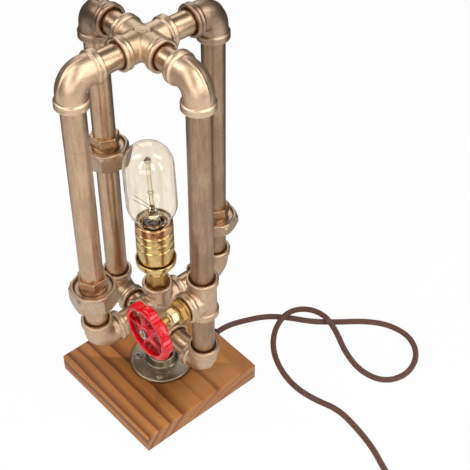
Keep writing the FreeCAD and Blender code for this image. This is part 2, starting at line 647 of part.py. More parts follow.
def wheel_rib(inner, outer, low):
    """Rib along a spoke on the local +X side, level while the web falls away behind it."""
    high = WHEEL_THICKNESS - WHEEL_RIB_STEP
    start = low - WHEEL_WEB_DISH + 1.0
    return Part.makeBox(outer - inner, WHEEL_RIB_WIDTH, high - start, Vector(inner, -WHEEL_RIB_WIDTH / 2, start))


def wheel_opening(inner, outer):
    """Rounded opening between two spokes, through the whole wheel, on the local +X side."""
    half_spoke = WHEEL_SPOKE_WIDTH / 2
    half_angle = math.radians(180 / WHEEL_SPOKES)
    near = inner + 1.0
    far = outer
    corners = []
    for radius, side in ((near, -1), (far, -1), (far, 1), (near, 1)):
        angle = half_angle - math.asin(half_spoke / radius)
        corners.append((radius * math.cos(angle), side * radius * math.sin(angle)))
    corners.insert(2, (far, 0))
    points = [Vector(x, y, 0) for x, y in corners]
    arc = Part.Arc(points[1], points[2], points[3]).toShape()
    edges = [Part.LineSegment(points[0], points[1]).toShape(), arc,
             Part.LineSegment(points[3], points[4]).toShape(), Part.LineSegment(points[4], points[0]).toShape()]
    prism = Part.Face(Part.Wire(edges)).extrude(Vector(0, 0, WHEEL_THICKNESS))
    upright = [edge for edge in prism.Edges if abs(edge.tangentAt(edge.FirstParameter).z) > 0.9]
    return prism.makeFillet(1.4, upright)


def wheel_nut():
    start = along_valve(HUB_FRONT)
    body = hexagon(WHEEL_NUT_HEX, WHEEL_NUT_LENGTH, start, FRONTWARDS, 0.6)
    return body.cut(rod(SPINDLE_END_RADIUS + SPINDLE_FIT, WHEEL_NUT_LENGTH, start, FRONTWARDS))


def switch_module():
    """Rotary switch in the tee, held against the headwork's spigot."""
    body = rod(SWITCH_OD / 2, SWITCH_LENGTH, along_valve(SWITCH_BACK), FRONTWARDS)
    slot = rod(SPINDLE_RADIUS * 0.6 + SPINDLE_FIT, SWITCH_SLOT_DEPTH, along_valve(SWITCH_FRONT - SWITCH_SLOT_DEPTH),
               FRONTWARDS)
    return body.cut(slot)


SHEATH_END_Z = LOWER_CROSS_Z - 10.0
LEAD_BEND = 5.0


def switch_leads():
    """Two conductors from the cord's end through the right-hand arm and up to the switch."""
    leads = []
    for side in (-1, 1):
        offset = side * LEAD_SPREAD
        points = [Vector(LEAD_SPREAD, offset, SHEATH_END_Z), Vector(LEAD_SPREAD, offset, LOWER_CROSS_Z),
                  Vector(SIDE_REACH, offset, LOWER_CROSS_Z),
                  Vector(SIDE_REACH, offset, VALVE_TEE_Z - math.sqrt((SWITCH_OD / 2) ** 2 - 0.01))]
        leads.append(swept(points, LEAD_OD / 2, fixed_bend(LEAD_BEND))[0])
    return Part.makeCompound(leads)


def holder_leads():
    """Two conductors from the cord's end up to the holder's insert."""
    top = HOLDER_SEAT_Z + HOLDER_NECK_LENGTH + CUP_LEDGE
    return Part.makeCompound([rod(LEAD_OD / 2, top - SHEATH_END_Z, Vector(-LEAD_SPREAD, side * LEAD_SPREAD,
                                                                          SHEATH_END_Z)) for side in (-1, 1)])


# ------------------------------------------------------------------ lamp holder and bulb
CUP_BOTTOM_Z = HOLDER_SEAT_Z + HOLDER_NECK_LENGTH
LEDGE_Z = CUP_BOTTOM_Z + CUP_LEDGE
SHELL_TOP_Z = HOLDER_SEAT_Z + SHELL_TOP
SHELL_RADIUS = SHELL_OD / 2
SLEEVE_BOTTOM_Z = LEDGE_Z + INSERT_FLOOR
SLEEVE_RADIUS = SLEEVE_BORE / 2 + SLEEVE_WALL
INSERT_TOP_Z = SHELL_TOP_Z - INSERT_TOP_GAP
CONTACT_HEIGHT = 3.0


def holder_neck():
    """Brass hexagon with a threaded spigot into the upper cross and a spigot into the cup."""
    seat = Vector(0, 0, HOLDER_SEAT_Z)
    spigot = THREAD_DEPTH - RECESS_DEPTH
    body = merged(hexagon(HOLDER_NECK_HEX, HOLDER_NECK_LENGTH, seat, Z_AXIS, 0.8),
                  rod(PIPE_RADIUS, spigot, seat - Vector(0, 0, spigot)),
                  rod(HOLDER_NECK_BORE / 2 + HOLDER_NECK_WALL, HOLDER_NECK_LENGTH + CUP_LEDGE, seat))
    through = spigot + HOLDER_NECK_LENGTH + CUP_LEDGE
    return body.cut(rod(HOLDER_NECK_BORE / 2, through, seat - Vector(0, 0, spigot)))


def holder_cup():
    """Lower holder cup: stepped foot, flared bowl and rim, with a ledge inside for the insert."""
    step = CUP_STEP_OD / 2
    rim = CUP_OD / 2
    inside = rim - CUP_WALL
    neck = HOLDER_NECK_BORE / 2 + HOLDER_NECK_WALL + THREAD_FIT
    return turned([(neck, 0), (step, 0, 0.8), (step, CUP_STEP_HEIGHT, 0.8), (step + 0.8, CUP_STEP_HEIGHT + 0.4),
                   (rim - 1.0, CUP_FLARE_HEIGHT, 2.5), (rim, CUP_FLARE_HEIGHT + 2.0, 1.0), (rim, CUP_HEIGHT, 0.5),
                   (inside, CUP_HEIGHT), (inside, CUP_LEDGE + 2.0), (SHELL_RADIUS + 0.3, CUP_LEDGE),
                   (neck, CUP_LEDGE)], Vector(0, 0, CUP_BOTTOM_Z))


def holder_shell():
    """Thin brass shell: plain barrel, ribbed part and a rounded lip."""
    height = SHELL_TOP_Z - LEDGE_Z
    plain = HOLDER_SEAT_Z + SHELL_PLAIN - LEDGE_Z
    pitch = (height - plain - 2.0) / (SHELL_RIBS + 0.5)
    outside = [(SHELL_RADIUS, 0), (SHELL_RADIUS, plain)]
    crest = SHELL_RADIUS + SHELL_RIB_HEIGHT
    for rib in range(SHELL_RIBS):
        low = plain + pitch * rib
        outside += [(crest, low + 0.8, 0.6), (crest, low + pitch - 1.2, 0.6), (SHELL_RADIUS - 0.1, low + pitch - 0.3)]
    outside += [(crest, height - 2.2, 0.6), (crest, height, 0.8)]
    inside = [(SHELL_RADIUS - SHELL_WALL, height), (SHELL_RADIUS - SHELL_WALL, 0)]
    return turned(outside + inside, Vector(0, 0, LEDGE_Z))


def holder_insert():
    """Porcelain insert: solid foot with the leads below it and a bore that carries the threaded sleeve."""
    outer = SHELL_RADIUS - SHELL_WALL - 0.1
    body = rod(outer, INSERT_TOP_Z - LEDGE_Z, Vector(0, 0, LEDGE_Z))
    body = body.cut(rod(SLEEVE_RADIUS + THREAD_FIT, INSERT_TOP_Z - SLEEVE_BOTTOM_Z, Vector(0, 0, SLEEVE_BOTTOM_Z)))
    return body


def holder_sleeve():
    """Thin metal sleeve that takes the bulb's cap, and the centre contact under the cap's tip."""
    sleeve = tube(SLEEVE_RADIUS, SLEEVE_BORE / 2, INSERT_TOP_Z - SLEEVE_BOTTOM_Z - 2.0, Vector(0, 0, SLEEVE_BOTTOM_Z))
    contact = rod(CAP_TIP_OD / 2, CONTACT_HEIGHT, Vector(0, 0, SLEEVE_BOTTOM_Z))
    return Part.makeCompound([sleeve, contact])


CAP_BOTTOM_Z = SLEEVE_BOTTOM_Z + CONTACT_HEIGHT
CAP_TOP_Z = CAP_BOTTOM_Z + CAP_TIP_LENGTH + CAP_LENGTH
BULB_TOP_Z = HOLDER_SEAT_Z + BULB_TOP
BULB_RADIUS = BULB_OD / 2
DOME_Z = BULB_TOP_Z - BULB_RADIUS


def leaning(shape):
    """Tilts a piece of the bulb about the top of its cap."""
    shape = shape.copy()
    shape.rotate(Vector(0, 0, CAP_TOP_Z), BULB_LEAN_AXIS, BULB_LEAN)
    return shape


def bulb_cap():
    """Screw cap: insulated tip, shoulder and threaded shell."""
    radius = CAP_OD / 2
    return turned([(0, 0), (CAP_TIP_OD / 2, 0, 0.5), (CAP_TIP_OD / 2, CAP_TIP_LENGTH * 0.4),
                   (radius - 1.0, CAP_TIP_LENGTH), (radius, CAP_TIP_LENGTH + 2.0),
                   (radius, CAP_TIP_LENGTH + CAP_LENGTH), (radius - 2.0, CAP_TIP_LENGTH + CAP_LENGTH),
                   (radius - 2.0, CAP_TIP_LENGTH + 3.0), (0, CAP_TIP_LENGTH + 3.0)], Vector(0, 0, CAP_BOTTOM_Z))


def bulb_side(radius, neck, top):
    """Right-hand side of the bulb's section from the neck up to the dome's top, as wire edges."""
    swell = radius - neck
    shoulder = Vector(radius, 0, CAP_TOP_Z + BULB_SHOULDER)
    low = Vector(neck, 0, CAP_TOP_Z + BULB_SEAT_GAP)
    knee = Vector(neck + 0.085 * swell, 0, CAP_TOP_Z + 0.193 * BULB_SHOULDER)
    curve = Part.BSplineCurve()
    curve.interpolate([knee, Vector(neck + 0.525 * swell, 0, CAP_TOP_Z + 0.421 * BULB_SHOULDER),
                       Vector(neck + 0.89 * swell, 0, CAP_TOP_Z + 0.684 * BULB_SHOULDER), shoulder])
    dome_base = Vector(radius, 0, DOME_Z)
    middle = Vector(radius * math.sqrt(0.5), 0, DOME_Z + radius * math.sqrt(0.5))
    return [Part.LineSegment(low, knee).toShape(), curve.toShape(), Part.LineSegment(shoulder, dome_base).toShape(),
            Part.Arc(dome_base, middle, Vector(0, 0, top)).toShape()]


def bulb_glass():
    """Clear tubular envelope with an open neck that stands in the cap."""
    neck = BULB_NECK_OD / 2
    rim_z = CAP_TOP_Z + BULB_SEAT_GAP
    outer = bulb_side(BULB_RADIUS, neck, BULB_TOP_Z)
    inner = bulb_side(BULB_RADIUS - BULB_GLASS, neck - BULB_GLASS, BULB_TOP_Z - BULB_GLASS)
    crown = Part.LineSegment(Vector(0, 0, BULB_TOP_Z), Vector(0, 0, BULB_TOP_Z - BULB_GLASS)).toShape()
    rim = Part.LineSegment(Vector(neck - BULB_GLASS, 0, rim_z), Vector(neck, 0, rim_z)).toShape()
    wire = Part.Wire(Part.__sortEdges__(outer + [crown] + inner + [rim]))
    solid = Part.Face(wire).revolve(ORIGIN, Z_AXIS, 360)
    if solid.Volume < 0:
        solid.reverse()
    return leaning(solid)


def upright_stem():
    """Glass stem before it leans: flare sealed in the neck, press, pinch and long centre rod."""
    flare = BULB_NECK_OD / 2 - BULB_GLASS - 0.3
    rod_radius = STEM_ROD_OD / 2
    pinch = STEM_PINCH_OD / 2
    press = pinch + STEM_PRESS_EXTRA
    corners = [(0, BULB_SEAT_GAP), (flare, BULB_SEAT_GAP), (flare - 1.0, STEM_FLARE_TOP * 0.36),
               (press, STEM_FLARE_TOP, 2.0), (press, STEM_PRESS_TOP, 1.0), (pinch, STEM_PINCH_BOTTOM, 1.0),
               (rod_radius, STEM_ROD_BOTTOM, 1.0), (rod_radius, STEM_LENGTH, 1.0), (0, STEM_LENGTH)]
    return turned(corners, Vector(0, 0, CAP_TOP_Z))


def bulb_stem():
    return leaning(upright_stem())


def bulb_filament():
    """Wire loops round the rod's top and middle, and the two support wires that slant off the stem's side."""
    wire = FILAMENT_WIRE / 2
    rod_radius = STEM_ROD_OD / 2
    stem = upright_stem()
    parts = []
    for height, radius in ((STEM_LENGTH - 2.0, rod_radius + 1.2), (STEM_LENGTH / 2, rod_radius + 0.8)):
        centre = Vector(0, 0, CAP_TOP_Z + height)
        parts.append(Part.makeTorus(radius, wire, centre, Z_AXIS))
    for height, slant in SUPPORT_WIRE_HEIGHTS.items():
        start = Vector(-rod_radius / 2, 0, CAP_TOP_Z + height)
        parts.append(rod(wire, SUPPORT_WIRE_LENGTH + STEM_PINCH_OD / 2, start, Vector(-1, slant, 0.2)).cut(stem))
    return leaning(Part.makeCompound(parts))


# ------------------------------------------------------------------ cord and plug
def cord_bush():
    """Tapered strain relief in the back of the base."""
    start = Vector(0, BASE_BACK_Y - CORD_BUSH_INSIDE, CORD_EXIT_Z)
    inside = CORD_BUSH_INSIDE
    flange = inside + CORD_BUSH_FLANGE
    bore = CORD_OD / 2 + CORD_FIT
    return turned([(bore, 0), (CORD_BUSH_BODY_OD / 2, 0), (CORD_BUSH_BODY_OD / 2, inside),
                   (CORD_BUSH_FLANGE_OD / 2, inside), (CORD_BUSH_FLANGE_OD / 2, flange, 0.7),
                   (CORD_BUSH_BODY_OD / 2, flange), (CORD_BUSH_NOSE_OD / 2, flange + CORD_BUSH_NOSE, 0.4),
                   (bore, flange + CORD_BUSH_NOSE)], start, Y_AXIS)


def inner_cord():
    """Cord inside the base: from the strain relief's nose along the channel and up into the lower cross."""
    nose = BASE_BACK_Y + CORD_BUSH_FLANGE + CORD_BUSH_NOSE
    points = [Vector(0, nose, CORD_EXIT_Z), Vector(0, 0, CORD_EXIT_Z), Vector(0, 0, SHEATH_END_Z)]
    return swept(points, CORD_OD / 2, fixed_bend(9.0))[0]


def cord_run():
    points = [Vector(x, y, lift + CORD_OD / 2) for x, y, lift in CORD_ROUTE]
    solid, length, radii = swept(points, CORD_OD / 2, loose_bend)
    section = math.pi * CORD_OD ** 2 / 4
    print("cord run %.1f mm, volume ratio %.5f" % (length, solid.Volume / (section * length)))
    print("cord bend radii", [round(radius, 1) for radius in radii])
    return solid


PLUG_FORWARD = Vector(math.cos(math.radians(PLUG_HEADING)), math.sin(math.radians(PLUG_HEADING)), 0)


def coil_exit():
    """Point on the middle of the coil's outer turn where the cord leaves it towards the plug."""
    outward = Vector(-PLUG_FORWARD.y, PLUG_FORWARD.x, 0)
    return Vector(COIL_CENTRE[0], COIL_CENTRE[1], PLUG_THICKNESS / 2) + outward * (COIL_RADIUS + CORD_OD / 2)


def cord_coil():
    """Outer shape of the put-away coil, and the straight cord from it to the plug."""
    outer = COIL_RADIUS + CORD_OD
    bore = COIL_RADIUS - CORD_OD
    height = 3 * CORD_OD
    ring = turned([(bore, 0, COIL_ROUND), (outer, 0, COIL_ROUND), (outer, height, COIL_ROUND),
                   (bore, height, COIL_ROUND)], Vector(COIL_CENTRE[0], COIL_CENTRE[1], 0))
    return merged(ring, rod(CORD_OD / 2, PLUG_LEAD, coil_exit(), PLUG_FORWARD))


def plug_placement():
    """Where the plug lies: its cord end at the end of the straight cord that leaves the coil."""
    return FreeCAD.Placement(coil_exit() + PLUG_FORWARD * PLUG_LEAD, FreeCAD.Rotation(X_AXIS, PLUG_FORWARD))


def plug_body():
    """Flat two-pin plug drawn along +X: tapered neck, waist and rounded body."""
    half = PLUG_THICKNESS / 2
    neck = turned([(0, 0), (CORD_OD / 2 + 0.6, 0), (PLUG_NECK_OD / 2, PLUG_NECK_LENGTH), (0, PLUG_NECK_LENGTH)],
                  ORIGIN, X_AXIS)
    start = PLUG_NECK_LENGTH - 1.0
    end = start + PLUG_LENGTH
    outline_points = [(start, PLUG_NECK_OD / 2), (start + 8.0, PLUG_WIDTH / 2), (end - 10.0, PLUG_WIDTH / 2),
                      (end, PLUG_NOSE_WIDTH / 2 + 1.5)]
    ring = [Vector(x, y, -half) for x, y in outline_points]
    ring += [Vector(x, -y, -half) for x, y in reversed(outline_points)]
    ring.append(ring[0])
    block = Part.Face(Part.makePolygon(ring)).extrude(Vector(0, 0, PLUG_THICKNESS))
    block = block.makeFillet(2.2, block.Edges)
    body = merged(block, neck)
    body.Placement = plug_placement()
    return body


def plug_pins():
    start = PLUG_NECK_LENGTH - 1.0 + PLUG_LENGTH
    pins = []
    for side in (-1, 1):
        radius = PLUG_PIN_OD / 2
        pin = turned([(0, 0), (radius, 0), (radius, PLUG_PIN_LENGTH, 1.2), (0, PLUG_PIN_LENGTH)],
                     Vector(start, side * PLUG_PIN_SPACING / 2, 0), X_AXIS)
        pins.append(pin)
    group = Part.makeCompound(pins)
    group.Placement = plug_placement()
    return group


# ------------------------------------------------------------------ the assembly
def upper_cross():
    """Cross with front, rear and top mouths and a male end below, screwed into the lower cross."""
    shoulder = UPPER_CROSS_Z - LOWER_CROSS_Z - LOWER_CROSS_TOP
    arms = (Y_AXIS, FRONTWARDS, Z_AXIS)
    reach = shoulder + THREAD_DEPTH
    body = merged(*[arm(direction) for direction in arms],
                  rod(FITTING_BODY_OD / 2, shoulder, ORIGIN, -Z_AXIS), rod(PIPE_RADIUS, reach, ORIGIN, -Z_AXIS))
    for direction in arms:
        body = body.cut(arm_bore(direction))
    return at_height(body.cut(rod(PIPE_BORE_RADIUS, reach, ORIGIN, -Z_AXIS)), UPPER_CROSS_Z)


def top_cross():
    body = fitting([X_AXIS, Y_AXIS, -X_AXIS, -Y_AXIS])
    boss = rod(BOSS_WIDTH / 2, BOSS_HEIGHT + 2.0, Vector(0, 0, FITTING_BODY_OD / 2 - 2.0))
    stretch = FreeCAD.Matrix()
    stretch.scale(BOSS_LENGTH / BOSS_WIDTH, 1, 1)
    boss = about_z(boss.transformGeometry(stretch), 45)
    return at_height(merged(body, boss), TOP_CROSS_Z)


def build():
    parts = {}
    parts["wood_base"] = wood_base()
    parts["base_felt"] = base_felt()
    parts["floor_flange"] = floor_flange()
    parts["flange_screws"] = flange_screws()
    hub_top = WOOD_TOP + FLANGE_HUB_HEIGHT
    parts["flange_nipple"] = pipe(hub_top, LOWER_CROSS_Z - FITTING_FACE)
    lower = fitting([X_AXIS, -X_AXIS, -Z_AXIS, Z_AXIS], [FITTING_FACE] * 3 + [LOWER_CROSS_TOP])
    parts["lower_cross"] = at_height(lower, LOWER_CROSS_Z)
    parts["upper_cross"] = upper_cross()
    parts["top_cross"] = top_cross()

    lower_nipples = []
    top_nipples = []
    for side, heading in HEADINGS.items():
        reach = REACHES[side]
        level = LOWER_LEVELS[side]
        lower_arm = SHORT_ELBOW_ARM if side == "right" else FITTING_FACE
        lower = nipple(reach - lower_arm, 0, LOWER_THREAD_SHOW.get(side, 0))
        upper = nipple(reach - FITTING_FACE, TOP_THREAD_SHOW.get(side, 0), 0)
        lower_nipples.append(at_height(about_z(lower, heading), level))
        top_nipples.append(at_height(about_z(upper, heading), TOP_CROSS_Z))
        parts[side + "_lower_elbow"] = placed(lower_elbow(lower_arm), side, level)
        parts[side + "_top_elbow"] = placed(top_elbow(), side, TOP_CROSS_Z)
    parts["lower_nipples"] = Part.makeCompound(lower_nipples)
    parts["top_nipples"] = Part.makeCompound(top_nipples)

    top_face = TOP_CROSS_Z - FITTING_FACE
    for side, bottom in UNION_BOTTOMS.items():
        length = UNION_NUT_LENGTHS[side]
        lower = pipe(LOWER_LEVELS[side] + FITTING_FACE, bottom, UNION_THREAD_DEPTH)
        parts[side + "_lower_pipe"] = placed(lower, side, 0)
        parts[side + "_union_seat"] = placed(union_seat(length), side, bottom)
        parts[side + "_union_tail"] = placed(about_z(union_tail(length), UNION_TAIL_TURNS[side]), side, bottom)
        parts[side + "_union_nut"] = placed(about_z(union_nut(length), UNION_NUT_TURNS[side]), side, bottom)
        parts[side + "_upper_pipe"] = placed(pipe(bottom + union_top(length), top_face), side, 0)
    parts["right_lower_pipe"] = placed(pipe(LOWER_CROSS_Z + FITTING_FACE, VALVE_TEE_Z - VALVE_TEE_BOTTOM), "right", 0)
    parts["right_upper_pipe"] = placed(pipe(VALVE_TEE_Z + FITTING_FACE, top_face), "right", 0)
    tee = fitting([Z_AXIS, -Z_AXIS, Y_AXIS], [FITTING_FACE, VALVE_TEE_BOTTOM, VALVE_TEE_BRANCH])
    parts["valve_tee"] = placed(about_z(tee, 180), "right", VALVE_TEE_Z)

    parts["valve_bonnet"] = valve_bonnet()
    parts["gland_nut"] = gland_nut()
    parts["valve_spindle"] = valve_spindle()
    parts["handwheel"] = handwheel()
    parts["wheel_nut"] = wheel_nut()
    parts["switch_module"] = switch_module()
    parts["switch_leads"] = switch_leads()
    parts["holder_leads"] = holder_leads()

    parts["holder_neck"] = holder_neck()
    parts["holder_cup"] = holder_cup()
    parts["holder_shell"] = holder_shell()
    parts["holder_insert"] = holder_insert()
    parts["holder_sleeve"] = holder_sleeve()
    parts["bulb_cap"] = bulb_cap()
    parts["bulb_glass"] = bulb_glass()
    parts["bulb_stem"] = bulb_stem()
    parts["bulb_filament"] = bulb_filament()

    parts["cord_bush"] = cord_bush()
    parts["inner_cord"] = inner_cord()
    parts["cord_run"] = cord_run()
    parts["cord_coil"] = cord_coil()
    parts["plug_body"] = plug_body()
    parts["plug_pins"] = plug_pins()
    return parts


os.makedirs("parts", exist_ok=True)
for name, shape in build().items():
    shape.exportStep("parts/%s.step" % name)
    print("%-20s solids %d valid %s volume %.1f" % (name, len(shape.Solids), shape.isValid(), shape.Volume))
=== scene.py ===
import math

import bmesh
import bpy
import numpy as np
from mathutils import Matrix, Vector


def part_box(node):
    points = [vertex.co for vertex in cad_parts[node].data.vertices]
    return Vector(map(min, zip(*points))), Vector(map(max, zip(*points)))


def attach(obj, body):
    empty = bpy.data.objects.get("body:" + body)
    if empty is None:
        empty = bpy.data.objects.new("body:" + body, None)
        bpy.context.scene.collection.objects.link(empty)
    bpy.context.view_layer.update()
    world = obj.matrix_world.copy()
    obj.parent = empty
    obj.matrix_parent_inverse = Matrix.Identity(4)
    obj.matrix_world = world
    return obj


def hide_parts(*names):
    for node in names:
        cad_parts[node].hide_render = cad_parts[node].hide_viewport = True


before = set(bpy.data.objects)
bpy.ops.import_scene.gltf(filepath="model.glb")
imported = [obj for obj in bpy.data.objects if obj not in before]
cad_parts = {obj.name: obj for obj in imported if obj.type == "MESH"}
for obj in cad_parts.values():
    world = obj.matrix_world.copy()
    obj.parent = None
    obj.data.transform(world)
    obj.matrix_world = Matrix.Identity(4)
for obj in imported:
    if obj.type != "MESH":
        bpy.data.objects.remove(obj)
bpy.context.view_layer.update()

MM = 0.001
scene = bpy.context.scene
scene.view_settings.view_transform = "Standard"
VALVE_X, VALVE_Z = 0.072, 0.177  # middle of the valve tee; the handwheel's axis runs through it along Y
SHARP = 32  # degrees: a sharper corner than this is shaded as an edge


# ------------ shader maths
class Value:
    """An output of a shader node. Arithmetic on it adds the Math nodes."""

    def __init__(self, shading, socket):
        self.shading = shading
        self.socket = socket

    def maths(self, operation, first, second):
        return self.shading.node("ShaderNodeMath", {"operation": operation}, {0: first, 1: second})

    def __add__(self, other):
        return self.maths("ADD", self, other)

    def __sub__(self, other):
        return self.maths("SUBTRACT", self, other)

    def __rsub__(self, other):
        return self.maths("SUBTRACT", other, self)

    def __mul__(self, other):
        return self.maths("MULTIPLY", self, other)

    def __truediv__(self, other):
        return self.maths("DIVIDE", self, other)

    def __pow__(self, other):
        return self.maths("POWER", self, other)

    def __mod__(self, other):
        return self.maths("FLOORED_MODULO", self, other)

    __radd__ = __add__
    __rmul__ = __mul__


def colour(red, green, blue):
    """Shader colour from screen values of 0 to 255."""
    scaled = [part / 255 for part in (red, green, blue)]
    return tuple(part / 12.92 if part <= 0.04045 else ((part + 0.055) / 1.055) ** 2.4 for part in scaled) + (1.0,)


class Shading:
    """A shader tree, with one way to add nodes and short names for the usual ones."""

    def __init__(self, tree):
        self.tree = tree

    def node(self, kind, settings=None, inputs=None, output=0):
        """Adds a node: its settings first, then the values or links of its sockets."""
        made = self.tree.nodes.new(kind)
        for name, value in (settings or {}).items():
            if name == "stops":
                ramp = made.color_ramp
                while len(ramp.elements) < len(value):
                    ramp.elements.new(0.5)
                for element, (position, shade) in zip(ramp.elements, value):
                    element.position = position
                    element.color = shade
            else:
                setattr(made, name, value)
        for name, value in (inputs or {}).items():
            if isinstance(value, Value):
                self.tree.links.new(value.socket, made.inputs[name])
            else:
                made.inputs[name].default_value = value
        return Value(self, made.outputs[output])

    def along(self, x, y, z, place=None):
        """The place stretched by a factor along each axis."""
        return self.node("ShaderNodeVectorMath", {"operation": "MULTIPLY"}, {0: place or self.place, 1: (x, y, z)})

    def part(self, axis, place=None):
        return self.node("ShaderNodeSeparateXYZ", None, {0: place or self.place}, axis)

    def noise(self, per_metre, detail, place=None, distortion=0.0):
        return self.node("ShaderNodeTexNoise", None, {
            "Vector": place or self.place, "Scale": per_metre, "Detail": detail, "Distortion": distortion})

    def attribute(self, name, output="Fac"):
        return self.node("ShaderNodeAttribute", {"attribute_name": name}, None, output)

    def ramp(self, value, *stops):
        return self.node("ShaderNodeValToRGB", {"stops": stops}, {0: value})

    def mix(self, share, first, second):
        return self.node("ShaderNodeMix", {"data_type": "RGBA", "clamp_factor": True},
                         {0: share, 6: first, 7: second}, 2)

    def between(self, value, low, high, bottom=0.0, top=1.0):
        """Value taken from the span low..high to bottom..top, with its ends held."""
        return self.node("ShaderNodeMapRange", {"interpolation_type": "SMOOTHSTEP"},
                         {0: value, 1: low, 2: high, 3: bottom, 4: top})

    def bump(self, height, depth):
        """Relief, where a height of 1 stands for a depth in metres."""
        return self.node("ShaderNodeBump", None, {"Height": height, "Strength": 1.0, "Distance": depth})

    def larger(self, first, second):
        return self.node("ShaderNodeMath", {"operation": "MAXIMUM"}, {0: first, 1: second})

    def ray(self, kind):
        """1 for rays of that kind, 0 for all others."""
        return self.node("ShaderNodeLightPath", output="Is %s Ray" % kind)

    def along_way(self, place, way):
        """How far the place lies along a way of length 1."""
        return self.node("ShaderNodeVectorMath", {"operation": "DOT_PRODUCT"}, {0: place, 1: way}, 1)


class Finish(Shading):
    """A procedural material, whose patterns sit on the piece's own coordinates."""

    def __init__(self, name, **fixed):
        self.material = bpy.data.materials.new(name)
        self.material.use_nodes = True
        super().__init__(self.material.node_tree)
        self.surface = self.tree.nodes["Principled BSDF"]
        self.shine = Value(self, self.surface.outputs[0])
        for socket, value in fixed.items():
            self.surface.inputs[socket.replace("_", " ")].default_value = value
        self.place = self.node("ShaderNodeTexCoord", output="Object")

    def feed(self, **links):
        """Links values to the surface's sockets and gives back the material."""
        for socket, value in links.items():
            self.tree.links.new(value.socket, self.surface.inputs[socket.replace("_", " ")])
        return self.material

    def cover(self, share, under, over):
        """Lets a share of one shader lie over another, as the whole material, and gives back the material."""
        both = self.node("ShaderNodeMixShader", None, {0: share, 1: under, 2: over})
        self.tree.links.new(both.socket, self.tree.nodes["Material Output"].inputs["Surface"])
        return self.material


# ------------ finishes
def bronze_casting(name, deep, middle, bright, roughness=0.42):
    """Satin bronze coat over a casting: fine grit from the mould, rubbed bright on edges; painted shade in corners."""
    finish = Finish(name, Metallic=1.0, Coat_Roughness=0.3)
    blotch = finish.noise(38, 2.0)
    speck = finish.noise(520, 3.0)
    grain = finish.noise(1900, 2.0)
    edge = finish.attribute("edge")
    rubbed = finish.between(edge, 0.10, 0.75)
    painted_crevice_shade = finish.between(edge, -0.06, -0.65)
    tone = finish.ramp(blotch * 0.5 + speck * 0.3 + grain * 0.2, (0.30, deep), (0.5, middle), (0.70, bright))
    tone = finish.mix(rubbed * 0.6, tone, bright)
    # painted shade: corners and crevices turn dark, down to 0.22 of the deep tone
    tone = finish.mix(painted_crevice_shade * 0.9, tone, tuple(part * 0.22 for part in deep[:3]) + (1.0,))
    return finish.feed(
        Base_Color=tone,
        Coat_Weight=speck * 0.3 + 0.45,
        Roughness=speck * 0.10 + grain * 0.08 + (roughness - 0.09) - rubbed * 0.06 + painted_crevice_shade * 0.12,
        Normal=finish.bump(grain * 0.7 + speck, 0.00006))


def bronze_pipe(name, deep, middle, bright, roughness=0.3):
    """Bronze-coated steel pipe, brushed along its length; pipe_place holds the place from the pipe's own axis."""
    finish = Finish(name, Metallic=1.0)
    place = finish.attribute("pipe_place", "Vector")
    streak = finish.noise(1.0, 3.0, finish.along(700, 700, 45, place))
    stain = finish.noise(1.0, 3.0, finish.along(90, 90, 40, place))
    speck = finish.noise(1100, 3.0)
    tone = finish.ramp(stain * 0.35 + streak * 0.3 + speck * 0.35, (0.34, deep), (0.5, middle), (0.66, bright))
    return finish.feed(
        Base_Color=tone,
        Roughness=streak * 0.10 + speck * 0.08 + (roughness - 0.09),
        Normal=finish.bump(streak * 0.5 + speck * 0.7, 0.00005))


def polished_brass(name, deep, bright, roughness, tarnish=0.35, shaded_bore=None, copper_above=None):
    """Turned brass, a little tarnished; painted brown shade inside a radius and coppery above a height, in millimetres.
    """
    finish = Finish(name, Metallic=1.0)
    cloud = finish.noise(160, 4.0)
    rubbing = finish.noise(1.0, 3.0, finish.along(400, 400, 2600))
    stain = finish.between(cloud, 0.48, 0.75)
    tone = finish.mix(stain * tarnish, bright, deep)
    if copper_above:
        high = finish.between(finish.part("Z"), (copper_above - 0.5) * MM, (copper_above + 0.5) * MM)
        tone = finish.mix(high * 0.75, tone, colour(204, 152, 116))
    # painted shade: brown inside the given radius, on the inside of the shell or cap
    if shaded_bore:
        from_axis = (finish.part("X") ** 2 + finish.part("Y") ** 2) ** 0.5
        tone = finish.mix(finish.between(from_axis, (shaded_bore + 0.1) * MM, (shaded_bore - 0.1) * MM), tone, colour(92, 68, 34))
    return finish.feed(
        Base_Color=tone,
        Roughness=cloud * 0.16 + rubbing * 0.08 + (roughness - 0.1),
        Normal=finish.bump(rubbing * 0.5 + cloud, 0.00003))


# Where the painted shade in the handwheel's dish starts and is full: by distance from the wheel's axis, and by Y.
DISH_SHADE_EDGE = (0.0262, 0.0238)
DISH_SHADE_DEPTH = (-0.0704, -0.0668)


